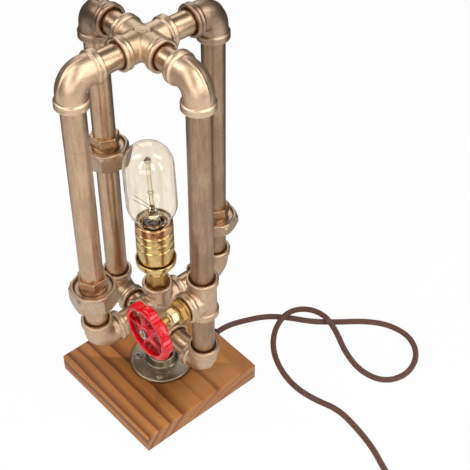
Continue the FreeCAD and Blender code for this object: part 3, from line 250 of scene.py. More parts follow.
def red_enamel():
    """Thick gloss paint on a casting; painted shade in corners and in the wheel's dish, painted highlight on edges."""
    finish = Finish("red_enamel", Coat_Roughness=0.04, Coat_IOR=1.5, Specular_IOR_Level=0.1)
    edge = finish.attribute("edge")
    ripple = finish.noise(260, 2.0)
    cloud = finish.noise(90, 2.0)
    painted_edge_highlight = finish.between(edge, 0.15, 0.9)
    painted_corner_shade = finish.between(edge, -0.08, -0.7)
    tone = finish.mix(cloud, colour(206, 4, 20), colour(226, 10, 30))
    across, upward = finish.part("X") - VALVE_X, finish.part("Z") - VALVE_Z
    from_axis = (across ** 2 + upward ** 2) ** 0.5
    # painted shade: the wheel's dish turns deep red
    painted_dish_shade = finish.between(from_axis, *DISH_SHADE_EDGE) * finish.between(finish.part("Y"), *DISH_SHADE_DEPTH)
    tone = finish.mix(painted_dish_shade * 0.75, tone, colour(110, 0, 8))
    # painted shade: corners and creases of the wheel turn near black-red
    tone = finish.mix(painted_corner_shade * 0.9, tone, colour(92, 0, 6))
    # painted highlight: raised edges of the wheel turn pink
    tone = finish.mix(painted_edge_highlight * 0.5, tone, colour(252, 104, 116))
    return finish.feed(
        Base_Color=tone,
        Coat_Weight=cloud * 0.1 + 0.55,
        Roughness=ripple * 0.1 + 0.2,
        Normal=finish.bump(ripple, 0.00025))


def bright_steel(name, tone, stain_tone, roughness=0.3):
    finish = Finish(name, Metallic=1.0)
    cloud = finish.noise(900, 4.0)
    return finish.feed(
        Base_Color=finish.mix(finish.between(cloud, 0.45, 0.75), tone, stain_tone),
        Roughness=cloud * 0.3 + (roughness - 0.15),
        Normal=finish.bump(cloud, 0.00004))


# Growth rings of the board: distance from the pith in millimetres, width of the dark wood inside it, how dark.
RINGS = [(98, 4.0, 0.5), (106, 3.5, 0.7), (113.5, 4.5, 0.8), (122.3, 2.6, 0.35), (132.0, 3.6, 0.8), (140.2, 3.0, 0.4),
         (154.9, 7.0, 0.95), (165.6, 5.0, 1.0), (176.5, 5.5, 0.9), (186.1, 6.0, 1.0)]
PITH_Y, PITH_Z = 65 * MM, -100 * MM
RING_LOW, RING_HIGH = 90.0, 195.0  # millimetres from the pith that the rings' ramp spans
BOARD_MIDDLE_X = -0.001
BOARD_END = (0.0741, 0.0746)  # from its middle to where the end grain starts to show, and shows in full


def oiled_pine():
    """Flat-sawn board, grain along X. Each ring darkens away from the pith, which runs below the board, then ends."""
    finish = Finish("oiled_pine", Coat_Roughness=0.35)
    sway = finish.noise(1.0, 2.0, finish.along(6, 14, 14))
    ripple = finish.noise(1.0, 3.0, finish.along(16, 70, 70))
    across = finish.part("Y") - PITH_Y + (sway - 0.5) * 0.010
    height = finish.part("Z") - PITH_Z + (ripple - 0.5) * 0.004
    from_pith = (across ** 2 + height ** 2) ** 0.5 * 1000  # millimetres
    stops = []
    for far, width, depth in RINGS:
        for distance, share in ((far - width, 0.0), (far - 0.3, depth), (far + 0.5, 0.0)):
            stops.append(((distance - RING_LOW) / (RING_HIGH - RING_LOW), (share, share, share, 1.0)))
    late = finish.ramp((from_pith - RING_LOW) / (RING_HIGH - RING_LOW), *stops)
    fibre = finish.noise(1.0, 4.0, finish.along(26, 900, 900))
    pore = finish.noise(1.0, 2.0, finish.along(60, 2600, 2600))
    cloud = finish.noise(1.0, 2.0, finish.along(9, 26, 26))
    early = finish.mix(cloud, colour(178, 112, 52), colour(202, 136, 72))
    tone = finish.mix(late * (fibre * 0.3 + 0.84), early, colour(104, 42, 12))
    tone = finish.mix((fibre - 0.35) * 0.5, tone, colour(146, 82, 34))
    open_pore = finish.between(pore, 0.62, 0.80)
    tone = finish.mix(open_pore * 0.25, tone, colour(92, 50, 26))
    from_middle = finish.node("ShaderNodeMath", {"operation": "ABSOLUTE"}, {0: finish.part("X") - BOARD_MIDDLE_X})
    end_face = finish.between(from_middle, *BOARD_END)
    speckle = finish.noise(1900, 3.0)
    tone = finish.mix(end_face * (speckle * 0.5 + 0.05), tone, colour(136, 98, 76))
    return finish.feed(
        Base_Color=tone,
        Coat_Weight=cloud * 0.1 + 0.05,
        Roughness=fibre * 0.2 + 0.42 + late * 0.05,
        Normal=finish.bump(fibre * 0.6 + late * 0.4 - open_pore * 0.5, 0.00010))


def wool_felt():
    finish = Finish("wool_felt", Sheen_Weight=0.3)
    fibre = finish.noise(2600, 5.0, distortion=1.2)
    return finish.feed(
        Base_Color=finish.mix(fibre, colour(28, 27, 27), colour(66, 63, 62)),
        Roughness=fibre * 0.1 + 0.85,
        Normal=finish.bump(fibre, 0.0003))


def clear_glass(name, tint, ripple_depth):
    """Clear glass; light that only passes through to a lit surface isn't held back by it."""
    finish = Finish(name, Transmission_Weight=1.0, IOR=1.46, Base_Color=tint)
    ripple = finish.noise(45, 2.0)
    speck = finish.noise(500, 2.0)
    finish.feed(Roughness=finish.between(speck, 0.55, 0.9) * 0.03, Normal=finish.bump(ripple, ripple_depth))
    open_air = finish.node("ShaderNodeBsdfTransparent", None, {"Color": tuple(0.5 + 0.5 * part for part in tint)})
    return finish.cover(finish.ray("Shadow") * 0.9, finish.shine, open_air)


def glazed_porcelain():
    finish = Finish("glazed_porcelain", Coat_Roughness=0.08)
    cloud = finish.noise(120, 3.0)
    return finish.feed(
        Base_Color=finish.mix(cloud, colour(214, 208, 192), colour(238, 234, 222)),
        Coat_Weight=cloud * 0.2 + 0.6,
        Roughness=cloud * 0.15 + 0.3,
        Normal=finish.bump(cloud, 0.0001))


def moulded(name, dark, light, roughness=0.45):
    """Moulded plastic or rubber with a fine matt grain."""
    finish = Finish(name)
    fine = finish.noise(1400, 2.0)
    cloud = finish.noise(80, 2.0)
    return finish.feed(
        Base_Color=finish.mix(cloud * 0.7 + fine * 0.3, dark, light),
        Roughness=fine * 0.18 + (roughness - 0.09),
        Normal=finish.bump(fine, 0.00006))


CORD_RADIUS = 3.25 * MM
BRAID_YARNS = 8  # wound each way round the cord
BRAID_PITCH = 11.0  # millimetres along the cord for one yarn's turn


def braided_cotton(length_mm):
    """Brown braid: two sets of yarns wound opposite ways, over and under, in the cord's own UV map."""
    finish = Finish("braided_cotton", Sheen_Weight=0.35, Sheen_Roughness=0.5, Sheen_Tint=colour(190, 150, 130))
    place = finish.node("ShaderNodeTexCoord", output="UV")

    def hill(phase):
        return finish.node("ShaderNodeMath", {"operation": "SINE"}, {0: phase * math.pi})

    around = finish.part("Y", place) * BRAID_YARNS
    turns = finish.part("X", place) * (length_mm / BRAID_PITCH) * BRAID_YARNS
    over = finish.between(around % 1.0, 0.45, 0.55)
    height = hill((around + turns) % 1.0) * over + hill((around - turns) % 1.0) * (1 - over)
    gap = finish.between(height, 0.25, 0.75)
    fluff = finish.noise(2400, 4.0)
    wear = finish.noise(60, 2.0)
    tone = finish.mix(wear * 0.5 + fluff * 0.5, colour(104, 68, 56), colour(132, 92, 78))
    # painted shade: the braid turns dark where the yarns dip into the gaps between them
    tone = finish.mix(gap, colour(62, 38, 32), tone)
    return finish.feed(
        Base_Color=tone,
        Roughness=fluff * 0.15 + 0.75,
        Normal=finish.bump(height + fluff * 0.4, 0.0004))


BRONZE = bronze_casting("cast_bronze", colour(186, 155, 122), colour(206, 176, 142), colour(228, 202, 172))
# Lighter and darker copies of the cast bronze: painted light and painted shade on the top elbows
LIT_BRONZE = bronze_casting("lit_bronze", colour(198, 166, 132), colour(218, 187, 153), colour(238, 212, 181))
SHADED_BRONZE = bronze_casting("shaded_bronze", colour(146, 116, 92), colour(170, 140, 114), colour(208, 180, 150))
NUT_BRONZE = bronze_casting("nut_bronze", colour(160, 134, 108), colour(188, 160, 131), colour(224, 199, 170), 0.4)
TAIL_BRONZE = bronze_casting("tail_bronze", colour(138, 100, 66), colour(172, 130, 90), colour(240, 212, 176), 0.36)
FLANGE_BRONZE = bronze_casting(
    "flange_bronze", colour(112, 100, 84), colour(142, 128, 108), colour(214, 198, 176), 0.36)
PIPE_BRONZE = bronze_pipe("pipe_bronze", colour(172, 141, 112), colour(198, 166, 135), colour(220, 190, 160))
# A darker copy of the pipe bronze: painted shade on the right and rear risers
SHADED_PIPE = bronze_pipe("shaded_pipe_bronze", colour(138, 110, 86), colour(168, 139, 114), colour(196, 166, 138), 0.36)
YELLOW_BRASS = polished_brass("yellow_brass", colour(176, 136, 72), colour(228, 198, 136), 0.24)
PALE_BRASS = polished_brass("pale_brass", colour(196, 168, 116), colour(236, 216, 172), 0.3)
DULL_BRASS = polished_brass("dull_brass", colour(132, 96, 50), colour(190, 150, 88), 0.36, tarnish=0.5)
SHELL_BRASS = polished_brass("shell_brass", colour(170, 132, 70), colour(226, 194, 130), 0.22, shaded_bore=17.1,
                             copper_above=219.5)
CAP_BRASS = polished_brass("cap_brass", colour(132, 94, 44), colour(186, 146, 82), 0.34, tarnish=0.6, shaded_bore=11.8)
RED_ENAMEL = red_enamel()
NUT_STEEL = bright_steel("nut_steel", colour(196, 200, 190), colour(64, 66, 58))
SCREW_STEEL = bright_steel("screw_steel", colour(168, 162, 152), colour(76, 70, 60), 0.26)
PIN_STEEL = bright_steel("pin_nickel", colour(214, 212, 206), colour(176, 172, 164), 0.24)
WOOD = oiled_pine()
FELT = wool_felt()
BULB_GLASS = clear_glass("amber_glass", colour(250, 243, 232), 0.0002)
STEM_GLASS = clear_glass("stem_glass", colour(246, 240, 224), 0.0001)
FILAMENT_WIRE = bright_steel("support_wire", colour(120, 104, 86), colour(64, 52, 44), 0.4)
PORCELAIN = glazed_porcelain()
SWITCH_PLASTIC = moulded("switch_phenolic", colour(26, 22, 20), colour(48, 40, 36))
LEAD_PVC = moulded("lead_pvc", colour(196, 190, 178), colour(232, 228, 218), 0.4)
BUSH_RUBBER = moulded("bush_rubber", colour(22, 20, 20), colour(46, 43, 42), 0.6)
PLUG_RUBBER = moulded("plug_rubber", colour(54, 34, 28), colour(84, 56, 46), 0.5)


# ------------ making pieces
def linked(name, data):
    piece = bpy.data.objects.new(name, data)
    scene.collection.objects.link(piece)
    return piece


def dress(piece, material, body, slot, *nodes):
    """Gives a piece its finish and its body, and hides the CAD nodes that it stands for; slot is not used."""
    piece.data.materials.clear()
    piece.data.materials.append(material)
    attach(piece, body)
    if nodes:
        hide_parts(*nodes)
    return piece


def meshed(name, shape):
    """Mesh of a shape that is finished and freed."""
    data = bpy.data.meshes.new(name)
    shape.to_mesh(data)
    shape.free()
    return data


def settled(piece):
    """Leaves a plain mesh in place of the piece's modifiers."""
    graph = bpy.context.evaluated_depsgraph_get()
    data = bpy.data.meshes.new_from_object(piece.evaluated_get(graph))
    piece.modifiers.clear()
    piece.data = data
    return piece


SAME_POINT = 2e-6


def copied(name, node):
    """New piece with the closed shape of the node, the loose triangles joined."""
    shape = bmesh.new()
    shape.from_mesh(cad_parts[node].data)
    bmesh.ops.remove_doubles(shape, verts=shape.verts, dist=SAME_POINT)
    return linked(name, meshed(name, shape))


def smooth_shaded(piece, sharp_degrees=None):
    """Shades a piece smooth, with an edge where it turns by more than sharp_degrees."""
    data = piece.data
    data.polygons.foreach_set("use_smooth", [True] * len(data.polygons))
    if sharp_degrees:
        data.set_sharp_from_angle(angle=math.radians(sharp_degrees))
    data.update()
    return piece


class Skin:
    """The points of a mesh as numbers, with the middle of each point's neighbours."""

    def __init__(self, data):
        self.data = data
        self.count = len(data.vertices)
        self.points = np.empty(self.count * 3, np.float32)
        data.vertices.foreach_get("co", self.points)
        self.points = self.points.reshape(-1, 3).astype(float)
        ends = np.empty(len(data.edges) * 2, np.int32)
        data.edges.foreach_get("vertices", ends)
        self.first, self.second = ends.reshape(-1, 2).T
        self.degree = np.maximum(np.bincount(ends, minlength=self.count), 1)

    def middle(self, field):
        total = np.bincount(self.first, field[self.second], self.count)
        total += np.bincount(self.second, field[self.first], self.count)
        return total / self.degree

    def pull(self):
        """From each point to the middle of its neighbours."""
        return np.stack([self.middle(self.points[:, axis]) for axis in range(3)], 1) - self.points

    def relax(self, passes, share):
        for _ in range(passes):
            self.points += self.pull() * share

    def hollow(self, spacing):
        """How concave the surface is: above 0 in a corner, below 0 on an edge."""
        self.store()
        normals = np.empty(self.count * 3, np.float32)
        self.data.vertices.foreach_get("normal", normals)
        field = (self.pull() * normals.reshape(-1, 3)).sum(1) / spacing
        for _ in range(3):
            field = 0.5 * field + 0.5 * self.middle(field)
        return field

    def store(self):
        self.data.vertices.foreach_set("co", self.points.astype(np.float32).ravel())
        self.data.update()


GROOVE_DEPTH, GROOVE_HALF_WIDTH = 0.55 * MM, 1.2 * MM
GROOVE_FROM_MOUTH = 4.4 * MM
BEAD_INSIDE, BEAD_OUTSIDE = 13.2 * MM, 17 * MM  # distances from an arm's axis that the bead lies between


def band_groove(skin, centre, direction, face):
    """Presses a shallow groove round the bead of a fitting's arm, which leaves a lip at the mouth. The arm runs from
    centre along direction, and its mouth is as far from centre as face says."""
    offset = skin.points - np.array(centre)
    along = offset @ np.array(direction)
    across = offset - along[:, None] * np.array(direction)
    radius = np.linalg.norm(across, axis=1)
    depth = GROOVE_DEPTH * np.exp(-((along - face + GROOVE_FROM_MOUTH) / GROOVE_HALF_WIDTH) ** 2)
    depth = depth * (radius > BEAD_INSIDE) * (radius < BEAD_OUTSIDE)
    skin.points -= across / np.maximum(radius, 1e-6)[:, None] * depth[:, None]


CROTCH_REACH, CROTCH_FADE = 22 * MM, 5 * MM  # how far round a crotch the deep fillets go, and how they end
NEARLY_FLAT, CORNER_GAIN = 0.02, 12  # a surface more hollow than the first counts as a corner
CORNER_SPREAD, CORNER_PASSES, CROTCH_PASSES = 5, 8, 60
EDGE_GAIN = 7 / 0.8  # per millimetre of voxel


def cast(node, material, body="stand", slot="fitting", voxel=0.6, soften=3, arms=(), crotch=None):
    """Casting with rounded edges and filled corners, from the node's closed shape; voxel is in millimetres. Arms have a
    groove round their beads, and near crotch, where arms meet, the corners are filleted deeply."""
    piece = copied(node + "_skin", node)
    remesh = piece.modifiers.new("skin", "REMESH")
    remesh.mode = "VOXEL"
    remesh.voxel_size = voxel * MM
    settled(piece)
    skin = Skin(piece.data)
    for arm in arms:
        band_groove(skin, *arm)
    skin.relax(soften, 0.5)
    corner = np.clip((skin.hollow(voxel * MM) - NEARLY_FLAT) * CORNER_GAIN, 0, 1)
    for _ in range(CORNER_SPREAD):
        corner = np.maximum(corner, skin.middle(corner))
    if crotch is not None:
        away = np.linalg.norm(skin.points - np.array(crotch), axis=1)
        near = np.clip((CROTCH_REACH - away) / CROTCH_FADE, 0, 1)
        skin.relax(CROTCH_PASSES, (corner * near * 0.5)[:, None])
    skin.relax(CORNER_PASSES, (corner * 0.5)[:, None])
    edge = np.clip(-skin.hollow(voxel * MM) * EDGE_GAIN * voxel, -1, 1)
    skin.store()
    piece.data.attributes.new("edge", "FLOAT", "POINT").data.foreach_set("value", edge.astype(np.float32))
    smooth_shaded(piece)
    return dress(piece, material, body, slot, node)


ROUNDING_STEPS = 5


def rounded(corners):
    """Points of an outline from its corners (u, v) in millimetres; a third number rounds that corner by that radius."""
    points = []
    for index, corner in enumerate(corners):
        here = Vector(corner[:2])
        if len(corner) < 3:
            points.append(here)
            continue
        back = (Vector(corners[index - 1][:2]) - here).normalized()
        ahead = (Vector(corners[(index + 1) % len(corners)][:2]) - here).normalized()
        half = back.angle(ahead) / 2
        middle = here + (back + ahead).normalized() * corner[2] / math.sin(half)
        start = here + back * corner[2] / math.tan(half) - middle
        end = here + ahead * corner[2] / math.tan(half) - middle
        for step in range(ROUNDING_STEPS + 1):
            points.append(middle + start.slerp(end, step / ROUNDING_STEPS))
    return points


def turned(name, corners, base=(0, 0, 0), direction=(0, 0, 1), around=96, sharp=SHARP):
    """Closed turned solid from (radius, height) corners in millimetres, about the line from base along direction."""
    outline = rounded(corners)
    shape = bmesh.new()
    rings = []
    for radius, height in outline:
        if radius < 1e-4:
            rings.append([shape.verts.new((0, 0, height * MM))] * around)
        else:
            rings.append([shape.verts.new((radius * MM * math.cos(2 * math.pi * step / around),
                                           radius * MM * math.sin(2 * math.pi * step / around), height * MM))
                          for step in range(around)])
    for index, ring in enumerate(rings):
        following = rings[(index + 1) % len(rings)]
        for step in range(around):
            after = (step + 1) % around
            corner_points = dict.fromkeys((ring[step], ring[after], following[after], following[step]))
            if len(corner_points) > 2:
                shape.faces.new(list(corner_points))
    bmesh.ops.recalc_face_normals(shape, faces=shape.faces)
    data = meshed(name, shape)
    turn = Vector((0, 0, 1)).rotation_difference(Vector(direction)).to_matrix().to_4x4()
    data.transform(Matrix.Translation(Vector(base) * MM) @ turn)
    return smooth_shaded(linked(name, data), sharp)


# ------------ geometry trees
class Tree:
    """A Geometry Nodes tree with named sizes, which ends as a plain mesh piece."""

    def __init__(self, name, **sizes):
        self.name = name
        self.sizes = sizes
        self.group = bpy.data.node_groups.new(name, "GeometryNodeTree")
        kinds = {float: "NodeSocketFloat", int: "NodeSocketInt", tuple: "NodeSocketVector",
                 bpy.types.Object: "NodeSocketObject", bpy.types.Material: "NodeSocketMaterial"}
        for size, value in sizes.items():
            self.group.interface.new_socket(size, in_out="INPUT", socket_type=kinds[type(value)])
        self.group.interface.new_socket("Geometry", in_out="OUTPUT", socket_type="NodeSocketGeometry")
        self.inputs = self.group.nodes.new("NodeGroupInput").outputs

    def node(self, kind, settings=None, inputs=None, output=0):
        made = self.group.nodes.new(kind)
        for name, value in (settings or {}).items():
            setattr(made, name, value)
        for name, value in (inputs or {}).items():
            if isinstance(value, bpy.types.NodeSocket):
                self.group.links.new(value, made.inputs[name])
            else:
                made.inputs[name].default_value = value
        return made.outputs[output]

    def wound_ridge(self, steps, rise):
        """Round ridge along a helix about Z, from the tree's Radius, Turns and Crest."""
        radius, turns = self.inputs["Radius"], self.inputs["Turns"]
        helix = self.node("GeometryNodeCurveSpiral", None, {
            "Resolution": steps, "Rotations": turns, "Start Radius": radius, "End Radius": radius, "Height": rise})
        ridge = self.node("GeometryNodeCurvePrimitiveCircle", None, {"Resolution": 8, "Radius": self.inputs["Crest"]})
        thread = self.node("GeometryNodeCurveToMesh", None, {"Curve": helix, "Profile Curve": ridge, "Fill Caps": True})
        return self.node("GeometryNodeSetShadeSmooth", None, {0: thread})

    def grown(self, geometry):
        """Realises the geometry under the tree's Finish and gives back the plain piece."""
        solid = self.node("GeometryNodeRealizeInstances", None, {0: geometry})
        painted = self.node("GeometryNodeSetMaterial", None, {"Geometry": solid, "Material": self.inputs["Finish"]})
        self.group.links.new(painted, self.group.nodes.new("NodeGroupOutput").inputs[0])
        piece = linked(self.name, bpy.data.meshes.new(self.name))
        modifier = piece.modifiers.new(self.name, "NODES")
        modifier.node_group = self.group
        for item in self.group.interface.items_tree:
            if item.in_out == "INPUT":
                modifier[item.identifier] = self.sizes[item.name]
        return settled(piece)


# ------------ camera and light
CAMERA_PLACE = (0.6577, -0.4850, 0.97715)
CAMERA_DEGREES = (48.05, 43.333, 0.41)  # round from the front, above level, and roll
SENSOR_MM = 36
FOCAL_PIXELS, FRAME_PIXELS = 1138, 470


def make_camera():
    turn, tilt, roll = (math.radians(angle) for angle in CAMERA_DEGREES)
    back = Vector((math.sin(turn) * math.cos(tilt), -math.cos(turn) * math.cos(tilt), math.sin(tilt)))
    level = Vector((math.cos(turn), math.sin(turn), 0))
    rise = back.cross(level)
    right = level * math.cos(roll) + rise * math.sin(roll)
    up = rise * math.cos(roll) - level * math.sin(roll)
    data = bpy.data.cameras.new("camera")
    data.sensor_width = SENSOR_MM
    data.lens = SENSOR_MM * FOCAL_PIXELS / FRAME_PIXELS
    data.clip_start, data.clip_end = 0.05, 50
    camera = linked("camera", data)
    camera.matrix_world = Matrix.Translation(CAMERA_PLACE) @ Matrix((right, up, back)).transposed().to_4x4()
    scene.camera = camera


# White panels of soft light: degrees round from the front, degrees above level, width, height and watts.
PANELS = {
    "front_panel": (38, 14, 1.3, 0.5, 5.2),
    "side_panel": (112, 22, 0.3, 0.9, 4.4),
    "low_panel": (78, 33, 0.3, 0.6, 3.4),
    "key_panel": (12, 41, 0.3, 0.8, 3.8),
    "right_panel": (97, 62, 0.35, 0.8, 4.2),
    "rear_panel": (142, 54, 0.35, 0.8, 3.4),
    "left_panel": (316, 50, 0.35, 0.8, 4.4),
    "top_panel": (-20, 66, 0.35, 0.8, 1.6),
    "back_panel": (240, 35, 0.9, 0.7, 3.2),
}
PANEL_TARGET = Vector((0.01, 0.0, 0.2))
PANEL_DISTANCE = 1.4


def make_panel(name, heading, elevation, width, height, watts):
    turn, rise = math.radians(heading), math.radians(elevation)
    way = Vector((math.sin(turn) * math.cos(rise), -math.cos(turn) * math.cos(rise), math.sin(rise)))
    data = bpy.data.lights.new(name, "AREA")
    data.shape = "RECTANGLE"
    data.size, data.size_y = width, height
    data.energy = watts
    panel = linked(name, data)
    panel.location = PANEL_TARGET + way * PANEL_DISTANCE
    panel.rotation_euler = way.to_track_quat("Z", "Y").to_euler()


TO_CAMERA, FROM_CAMERA = (0.743, -0.669, 0.0), (-0.743, 0.669, 0.0)  # level ways of length 1
SKY_ABOVE, SKY_AHEAD = (0.2, 0.95, 0.0, 0.08), (-0.6, 0.7, 0.01, 0.07)  # the way's span, then the light's
FLAG = (0.0, 0.3, 0.0, 0.8)  # metres behind the lamp, then share of darkening
MIRRORED = 0.07  # share of the white surroundings that surfaces mirror
WHITE, BLACK = (1.0, 1.0, 1.0, 1.0), (0.0, 0.0, 0.0, 1.0)
FLOOR_WHITE = 0.95  # share of plain white in the floor, which leaves some of its shadows
FLOOR_RADIUS, FLOOR_GAP = 4.0, 0.0002


def white_share(shading):
    """1 for what the camera sees plainly or through glass, and a small share for what a surface mirrors."""
    plain = shading.larger(shading.ray("Camera"), shading.ray("Transmission"))
    return shading.larger(plain, shading.ray("Glossy") * MIRRORED)


def make_world():
    """White to the camera and through glass; a soft studio gradient, brighter above and in front, to all else."""
    world = bpy.data.worlds.new("studio")
    scene.world = world
    world.use_nodes = True
    tree = world.node_tree
    tree.nodes.clear()
    sky = Shading(tree)
    way = sky.node("ShaderNodeTexCoord", output="Generated")
    studio = sky.between(sky.part("Z", way), *SKY_ABOVE) + sky.between(sky.along_way(way, TO_CAMERA), *SKY_AHEAD)
    white = white_share(sky)
    light = sky.node("ShaderNodeBackground", None, {"Color": WHITE, "Strength": studio * (1 - white) + white})
    tree.links.new(light.socket, tree.nodes.new("ShaderNodeOutputWorld").inputs[0])


def make_floor():
    """Plain pale floor, nearly white where nothing shades it. Behind the lamp the metals mirror it darker, as past a
    flag."""
    finish = Finish("pale_floor", Base_Color=(0.86, 0.86, 0.86, 1.0), Roughness=0.9, Specular_IOR_Level=0.0)
    white = finish.node("ShaderNodeEmission", None, {"Color": WHITE, "Strength": 1.0})
    dark = finish.node("ShaderNodeEmission", None, {"Color": BLACK, "Strength": 0.0})
    lit = finish.node("ShaderNodeMixShader", None, {0: white_share(finish) * FLOOR_WHITE, 1: finish.shine, 2: white})
    behind = finish.between(finish.along_way(finish.place, FROM_CAMERA), *FLAG)
    finish.cover(finish.ray("Glossy") * (1 - finish.ray("Transmission")) * behind, lit, dark)
    shape = bmesh.new()
    bmesh.ops.create_circle(shape, cap_ends=True, segments=96, radius=FLOOR_RADIUS)
    data = meshed("floor", shape)
    data.materials.append(finish.material)
    floor = linked("floor", data)
    floor.location = (0, 0, -FLOOR_GAP)


make_camera()
make_world()
make_floor()
for name, sizes in PANELS.items():
    make_panel(name, *sizes)

# ------------ cord, its coil and its plug
# Millimetres, as are all sizes of the cord, the coil and the bush.
ROUTE = [
    (0, 79.3, 7.5), (0, 93, 7.5), (3, 113, 3.45), (16, 141, 3.25), (35, 159, 3.25), (58, 175, 3.25),
    (78, 197, 3.25), (97, 221, 3.25), (119, 238, 3.25), (148, 243, 3.25), (173, 228, 3.25), (184, 199, 3.25),
    (174, 172, 3.25), (147, 163, 3.25), (117, 169, 4.5), (90, 181, 9.9), (63.2, 189.1, 10.1), (41, 179.5, 10.0),
    (32, 158, 10.6), (39, 133, 6.0), (57, 113, 3.3), (83, 99, 3.25), (113, 93, 3.25), (140, 97, 3.25),
    (167, 107, 3.25), (197, 104, 3.25), (226, 98, 3.25), (253, 87, 3.25), (281, 78, 3.25)]
COIL_MIDDLE = (291.4, 33.1)
COIL_POINTS = 14  # points for each turn
COIL_START = 64.3  # degrees where the cord reaches the coil
COIL_END = -65.0  # degrees where it leaves for the plug, some turns on
COIL_TURNS = 5
# Each leg of the winding: degrees turned from the start, millimetres from the coil's middle, height.
WINDING = [(0, 39.25, 3.25), (225, 39.25, 3.25), (280, 32.75, 3.25), (540, 32.75, 3.25), (590, 32.75, 9.85),
           (865, 32.75, 9.85), (900, 32.8, 15.6), (935, 36.0, 15.9), (1215, 36.0, 15.9), (1240, 39.2, 14.9),
           (1265, 39.25, 12.4), (1290, 39.25, 9.9)]
PLUG_TAIL = 6.8  # height of the cord where the plug takes it


def coil_points():
    """The put-away length, wound clockwise in two columns and one turn on top."""
    swept = COIL_START - COIL_END + 360 * (COIL_TURNS - 1)
    count = round(swept / 360 * COIL_POINTS)
    shrink = math.cos(math.pi / COIL_POINTS) * 0.5 + 0.5
    turned_by, from_middle, heights = zip(*WINDING)
    points = []
    for step in range(count + 1):
        gone = swept * step / count
        radius, height = np.interp(gone, turned_by, from_middle) / shrink, np.interp(gone, turned_by, heights)
        angle = math.radians(COIL_START - gone)
        points.append((COIL_MIDDLE[0] + radius * math.cos(angle), COIL_MIDDLE[1] + radius * math.sin(angle), height))
    return points


def make_cord():
    route = ROUTE + coil_points()
    leave = math.radians(COIL_END)
    ahead = Vector((math.sin(leave), -math.cos(leave), 0))
    last = Vector(route[-1])
    for gone, height in ((14, last.z), (29, PLUG_TAIL)):
        route.append((last.x + ahead.x * gone, last.y + ahead.y * gone, height))
    data = bpy.data.curves.new("mains_cord", "CURVE")
    data.dimensions = "3D"
    spline = data.splines.new("NURBS")
    spline.points.add(len(route) - 1)
    for point, place in zip(spline.points, route):
        point.co = (place[0] * MM, place[1] * MM, place[2] * MM, 1.0)
    spline.order_u = 3
    spline.use_endpoint_u = True
    spline.resolution_u = 8
    data.bevel_depth = CORD_RADIUS
    data.bevel_resolution = 5
    data.use_fill_caps = True
    return linked("mains_cord", data)


# Strain relief with three moulded rings on its nose: radius, distance from its start, and any rounding.
BUSH = [(3.3, 0), (5.0, 0), (5.0, 17), (6.1, 17, 0.3), (6.1, 19, 0.7), (5.0, 19), (4.9, 20.2, 0.2), (4.5, 20.6, 0.1),
        (4.8, 21.2, 0.2), (4.7, 22.2, 0.2), (4.3, 22.6, 0.1), (4.5, 23.2, 0.2), (4.35, 24.2, 0.2), (4.1, 25, 0.3),
        (3.3, 25)]
BUSH_START, BACKWARD = (0, 54.3, 7.5), (0, 1, 0)

cord = make_cord()
dress(cord, braided_cotton(length_mm=1800), "stand", "cord", "cord_run", "cord_coil")
dress(turned("cord_bush_moulding", BUSH, BUSH_START, BACKWARD, around=48), BUSH_RUBBER, "stand", "plug", "cord_bush")
plug = cast("plug_body", PLUG_RUBBER, "stand", "plug", soften=8)
pins = dress(smooth_shaded(copied("plug_pins_turned", "plug_pins"), 35), PIN_STEEL, "stand", "pin", "plug_pins")

# ------------ castings
# Each riser's heading in degrees, its distance from the lamp's axis and its lower fitting's height in millimetres.
HEADINGS = {"right": 0, "rear": 90, "left": 180, "front": 270}
REACHES = {"right": 72.0, "rear": 78.0, "left": 72.0, "front": 77.0}
LEVELS = {"right": 81.5, "rear": 116.0, "left": 81.5, "front": 116.0}
TOP_LEVEL = 433.0
MOUTH = 28 * MM  # from a fitting's middle to the mouth of its arm
SHORT_MOUTH = 21 * MM  # the same on the right lower elbow's level arm
UP, DOWN, FORWARD = (0.0, 0.0, 1.0), (0.0, 0.0, -1.0), (0.0, -1.0, 0.0)


def outward(side):
    heading = math.radians(HEADINGS[side])
    return Vector((math.cos(heading), math.sin(heading), 0))


for side in HEADINGS:
    inward = tuple(-outward(side))
    for level, height, upright in (("lower", LEVELS[side], UP), ("top", TOP_LEVEL, DOWN)):
        centre = tuple(outward(side) * REACHES[side] * MM + Vector((0, 0, height * MM)))
        level_mouth = SHORT_MOUTH if (side, level) == ("right", "lower") else MOUTH
        finish = BRONZE
        # painted light and shade: on top, the front and right elbows take a lighter copy of the bronze, the rear and
        # left a darker one
        if level == "top":
            finish = LIT_BRONZE if side in ("front", "right") else SHADED_BRONZE
        cast("%s_%s_elbow" % (side, level), finish, arms=[(centre, inward, level_mouth), (centre, upright, MOUTH)])
for node, height, sides, uprights in (
        ("lower_cross", LEVELS["left"], ("left", "right"), (DOWN,)),
        ("upper_cross", LEVELS["front"], ("front", "rear"), (UP,)), ("top_cross", TOP_LEVEL, tuple(HEADINGS), ())):
    centre = (0.0, 0.0, height * MM)
    arms = [(centre, tuple(outward(side)), MOUTH) for side in sides] + [(centre, way, MOUTH) for way in uprights]
    cast(node, BRONZE, arms=arms, crotch=centre)
tee = (VALVE_X, 0.0, VALVE_Z)
cast("valve_tee", BRONZE, crotch=tee, arms=[
    (tee, UP, MOUTH), (tee, DOWN, 20.5 * MM), (tee, FORWARD, 24.5 * MM)])
for side in ("front", "rear", "left"):
    cast(side + "_union_nut", NUT_BRONZE, soften=4)
    cast(side + "_union_seat", NUT_BRONZE)
    cast(side + "_union_tail", TAIL_BRONZE, voxel=0.5, soften=2)
cast("floor_flange", FLANGE_BRONZE, "stand", "flange")
cast("handwheel", RED_ENAMEL, "wheel", "wheel", voxel=0.4, soften=5)
cast("holder_neck", DULL_BRASS, "stand", "brass", voxel=0.35, soften=2)
cast("valve_bonnet", DULL_BRASS, "stand", "brass", voxel=0.4, soften=2)
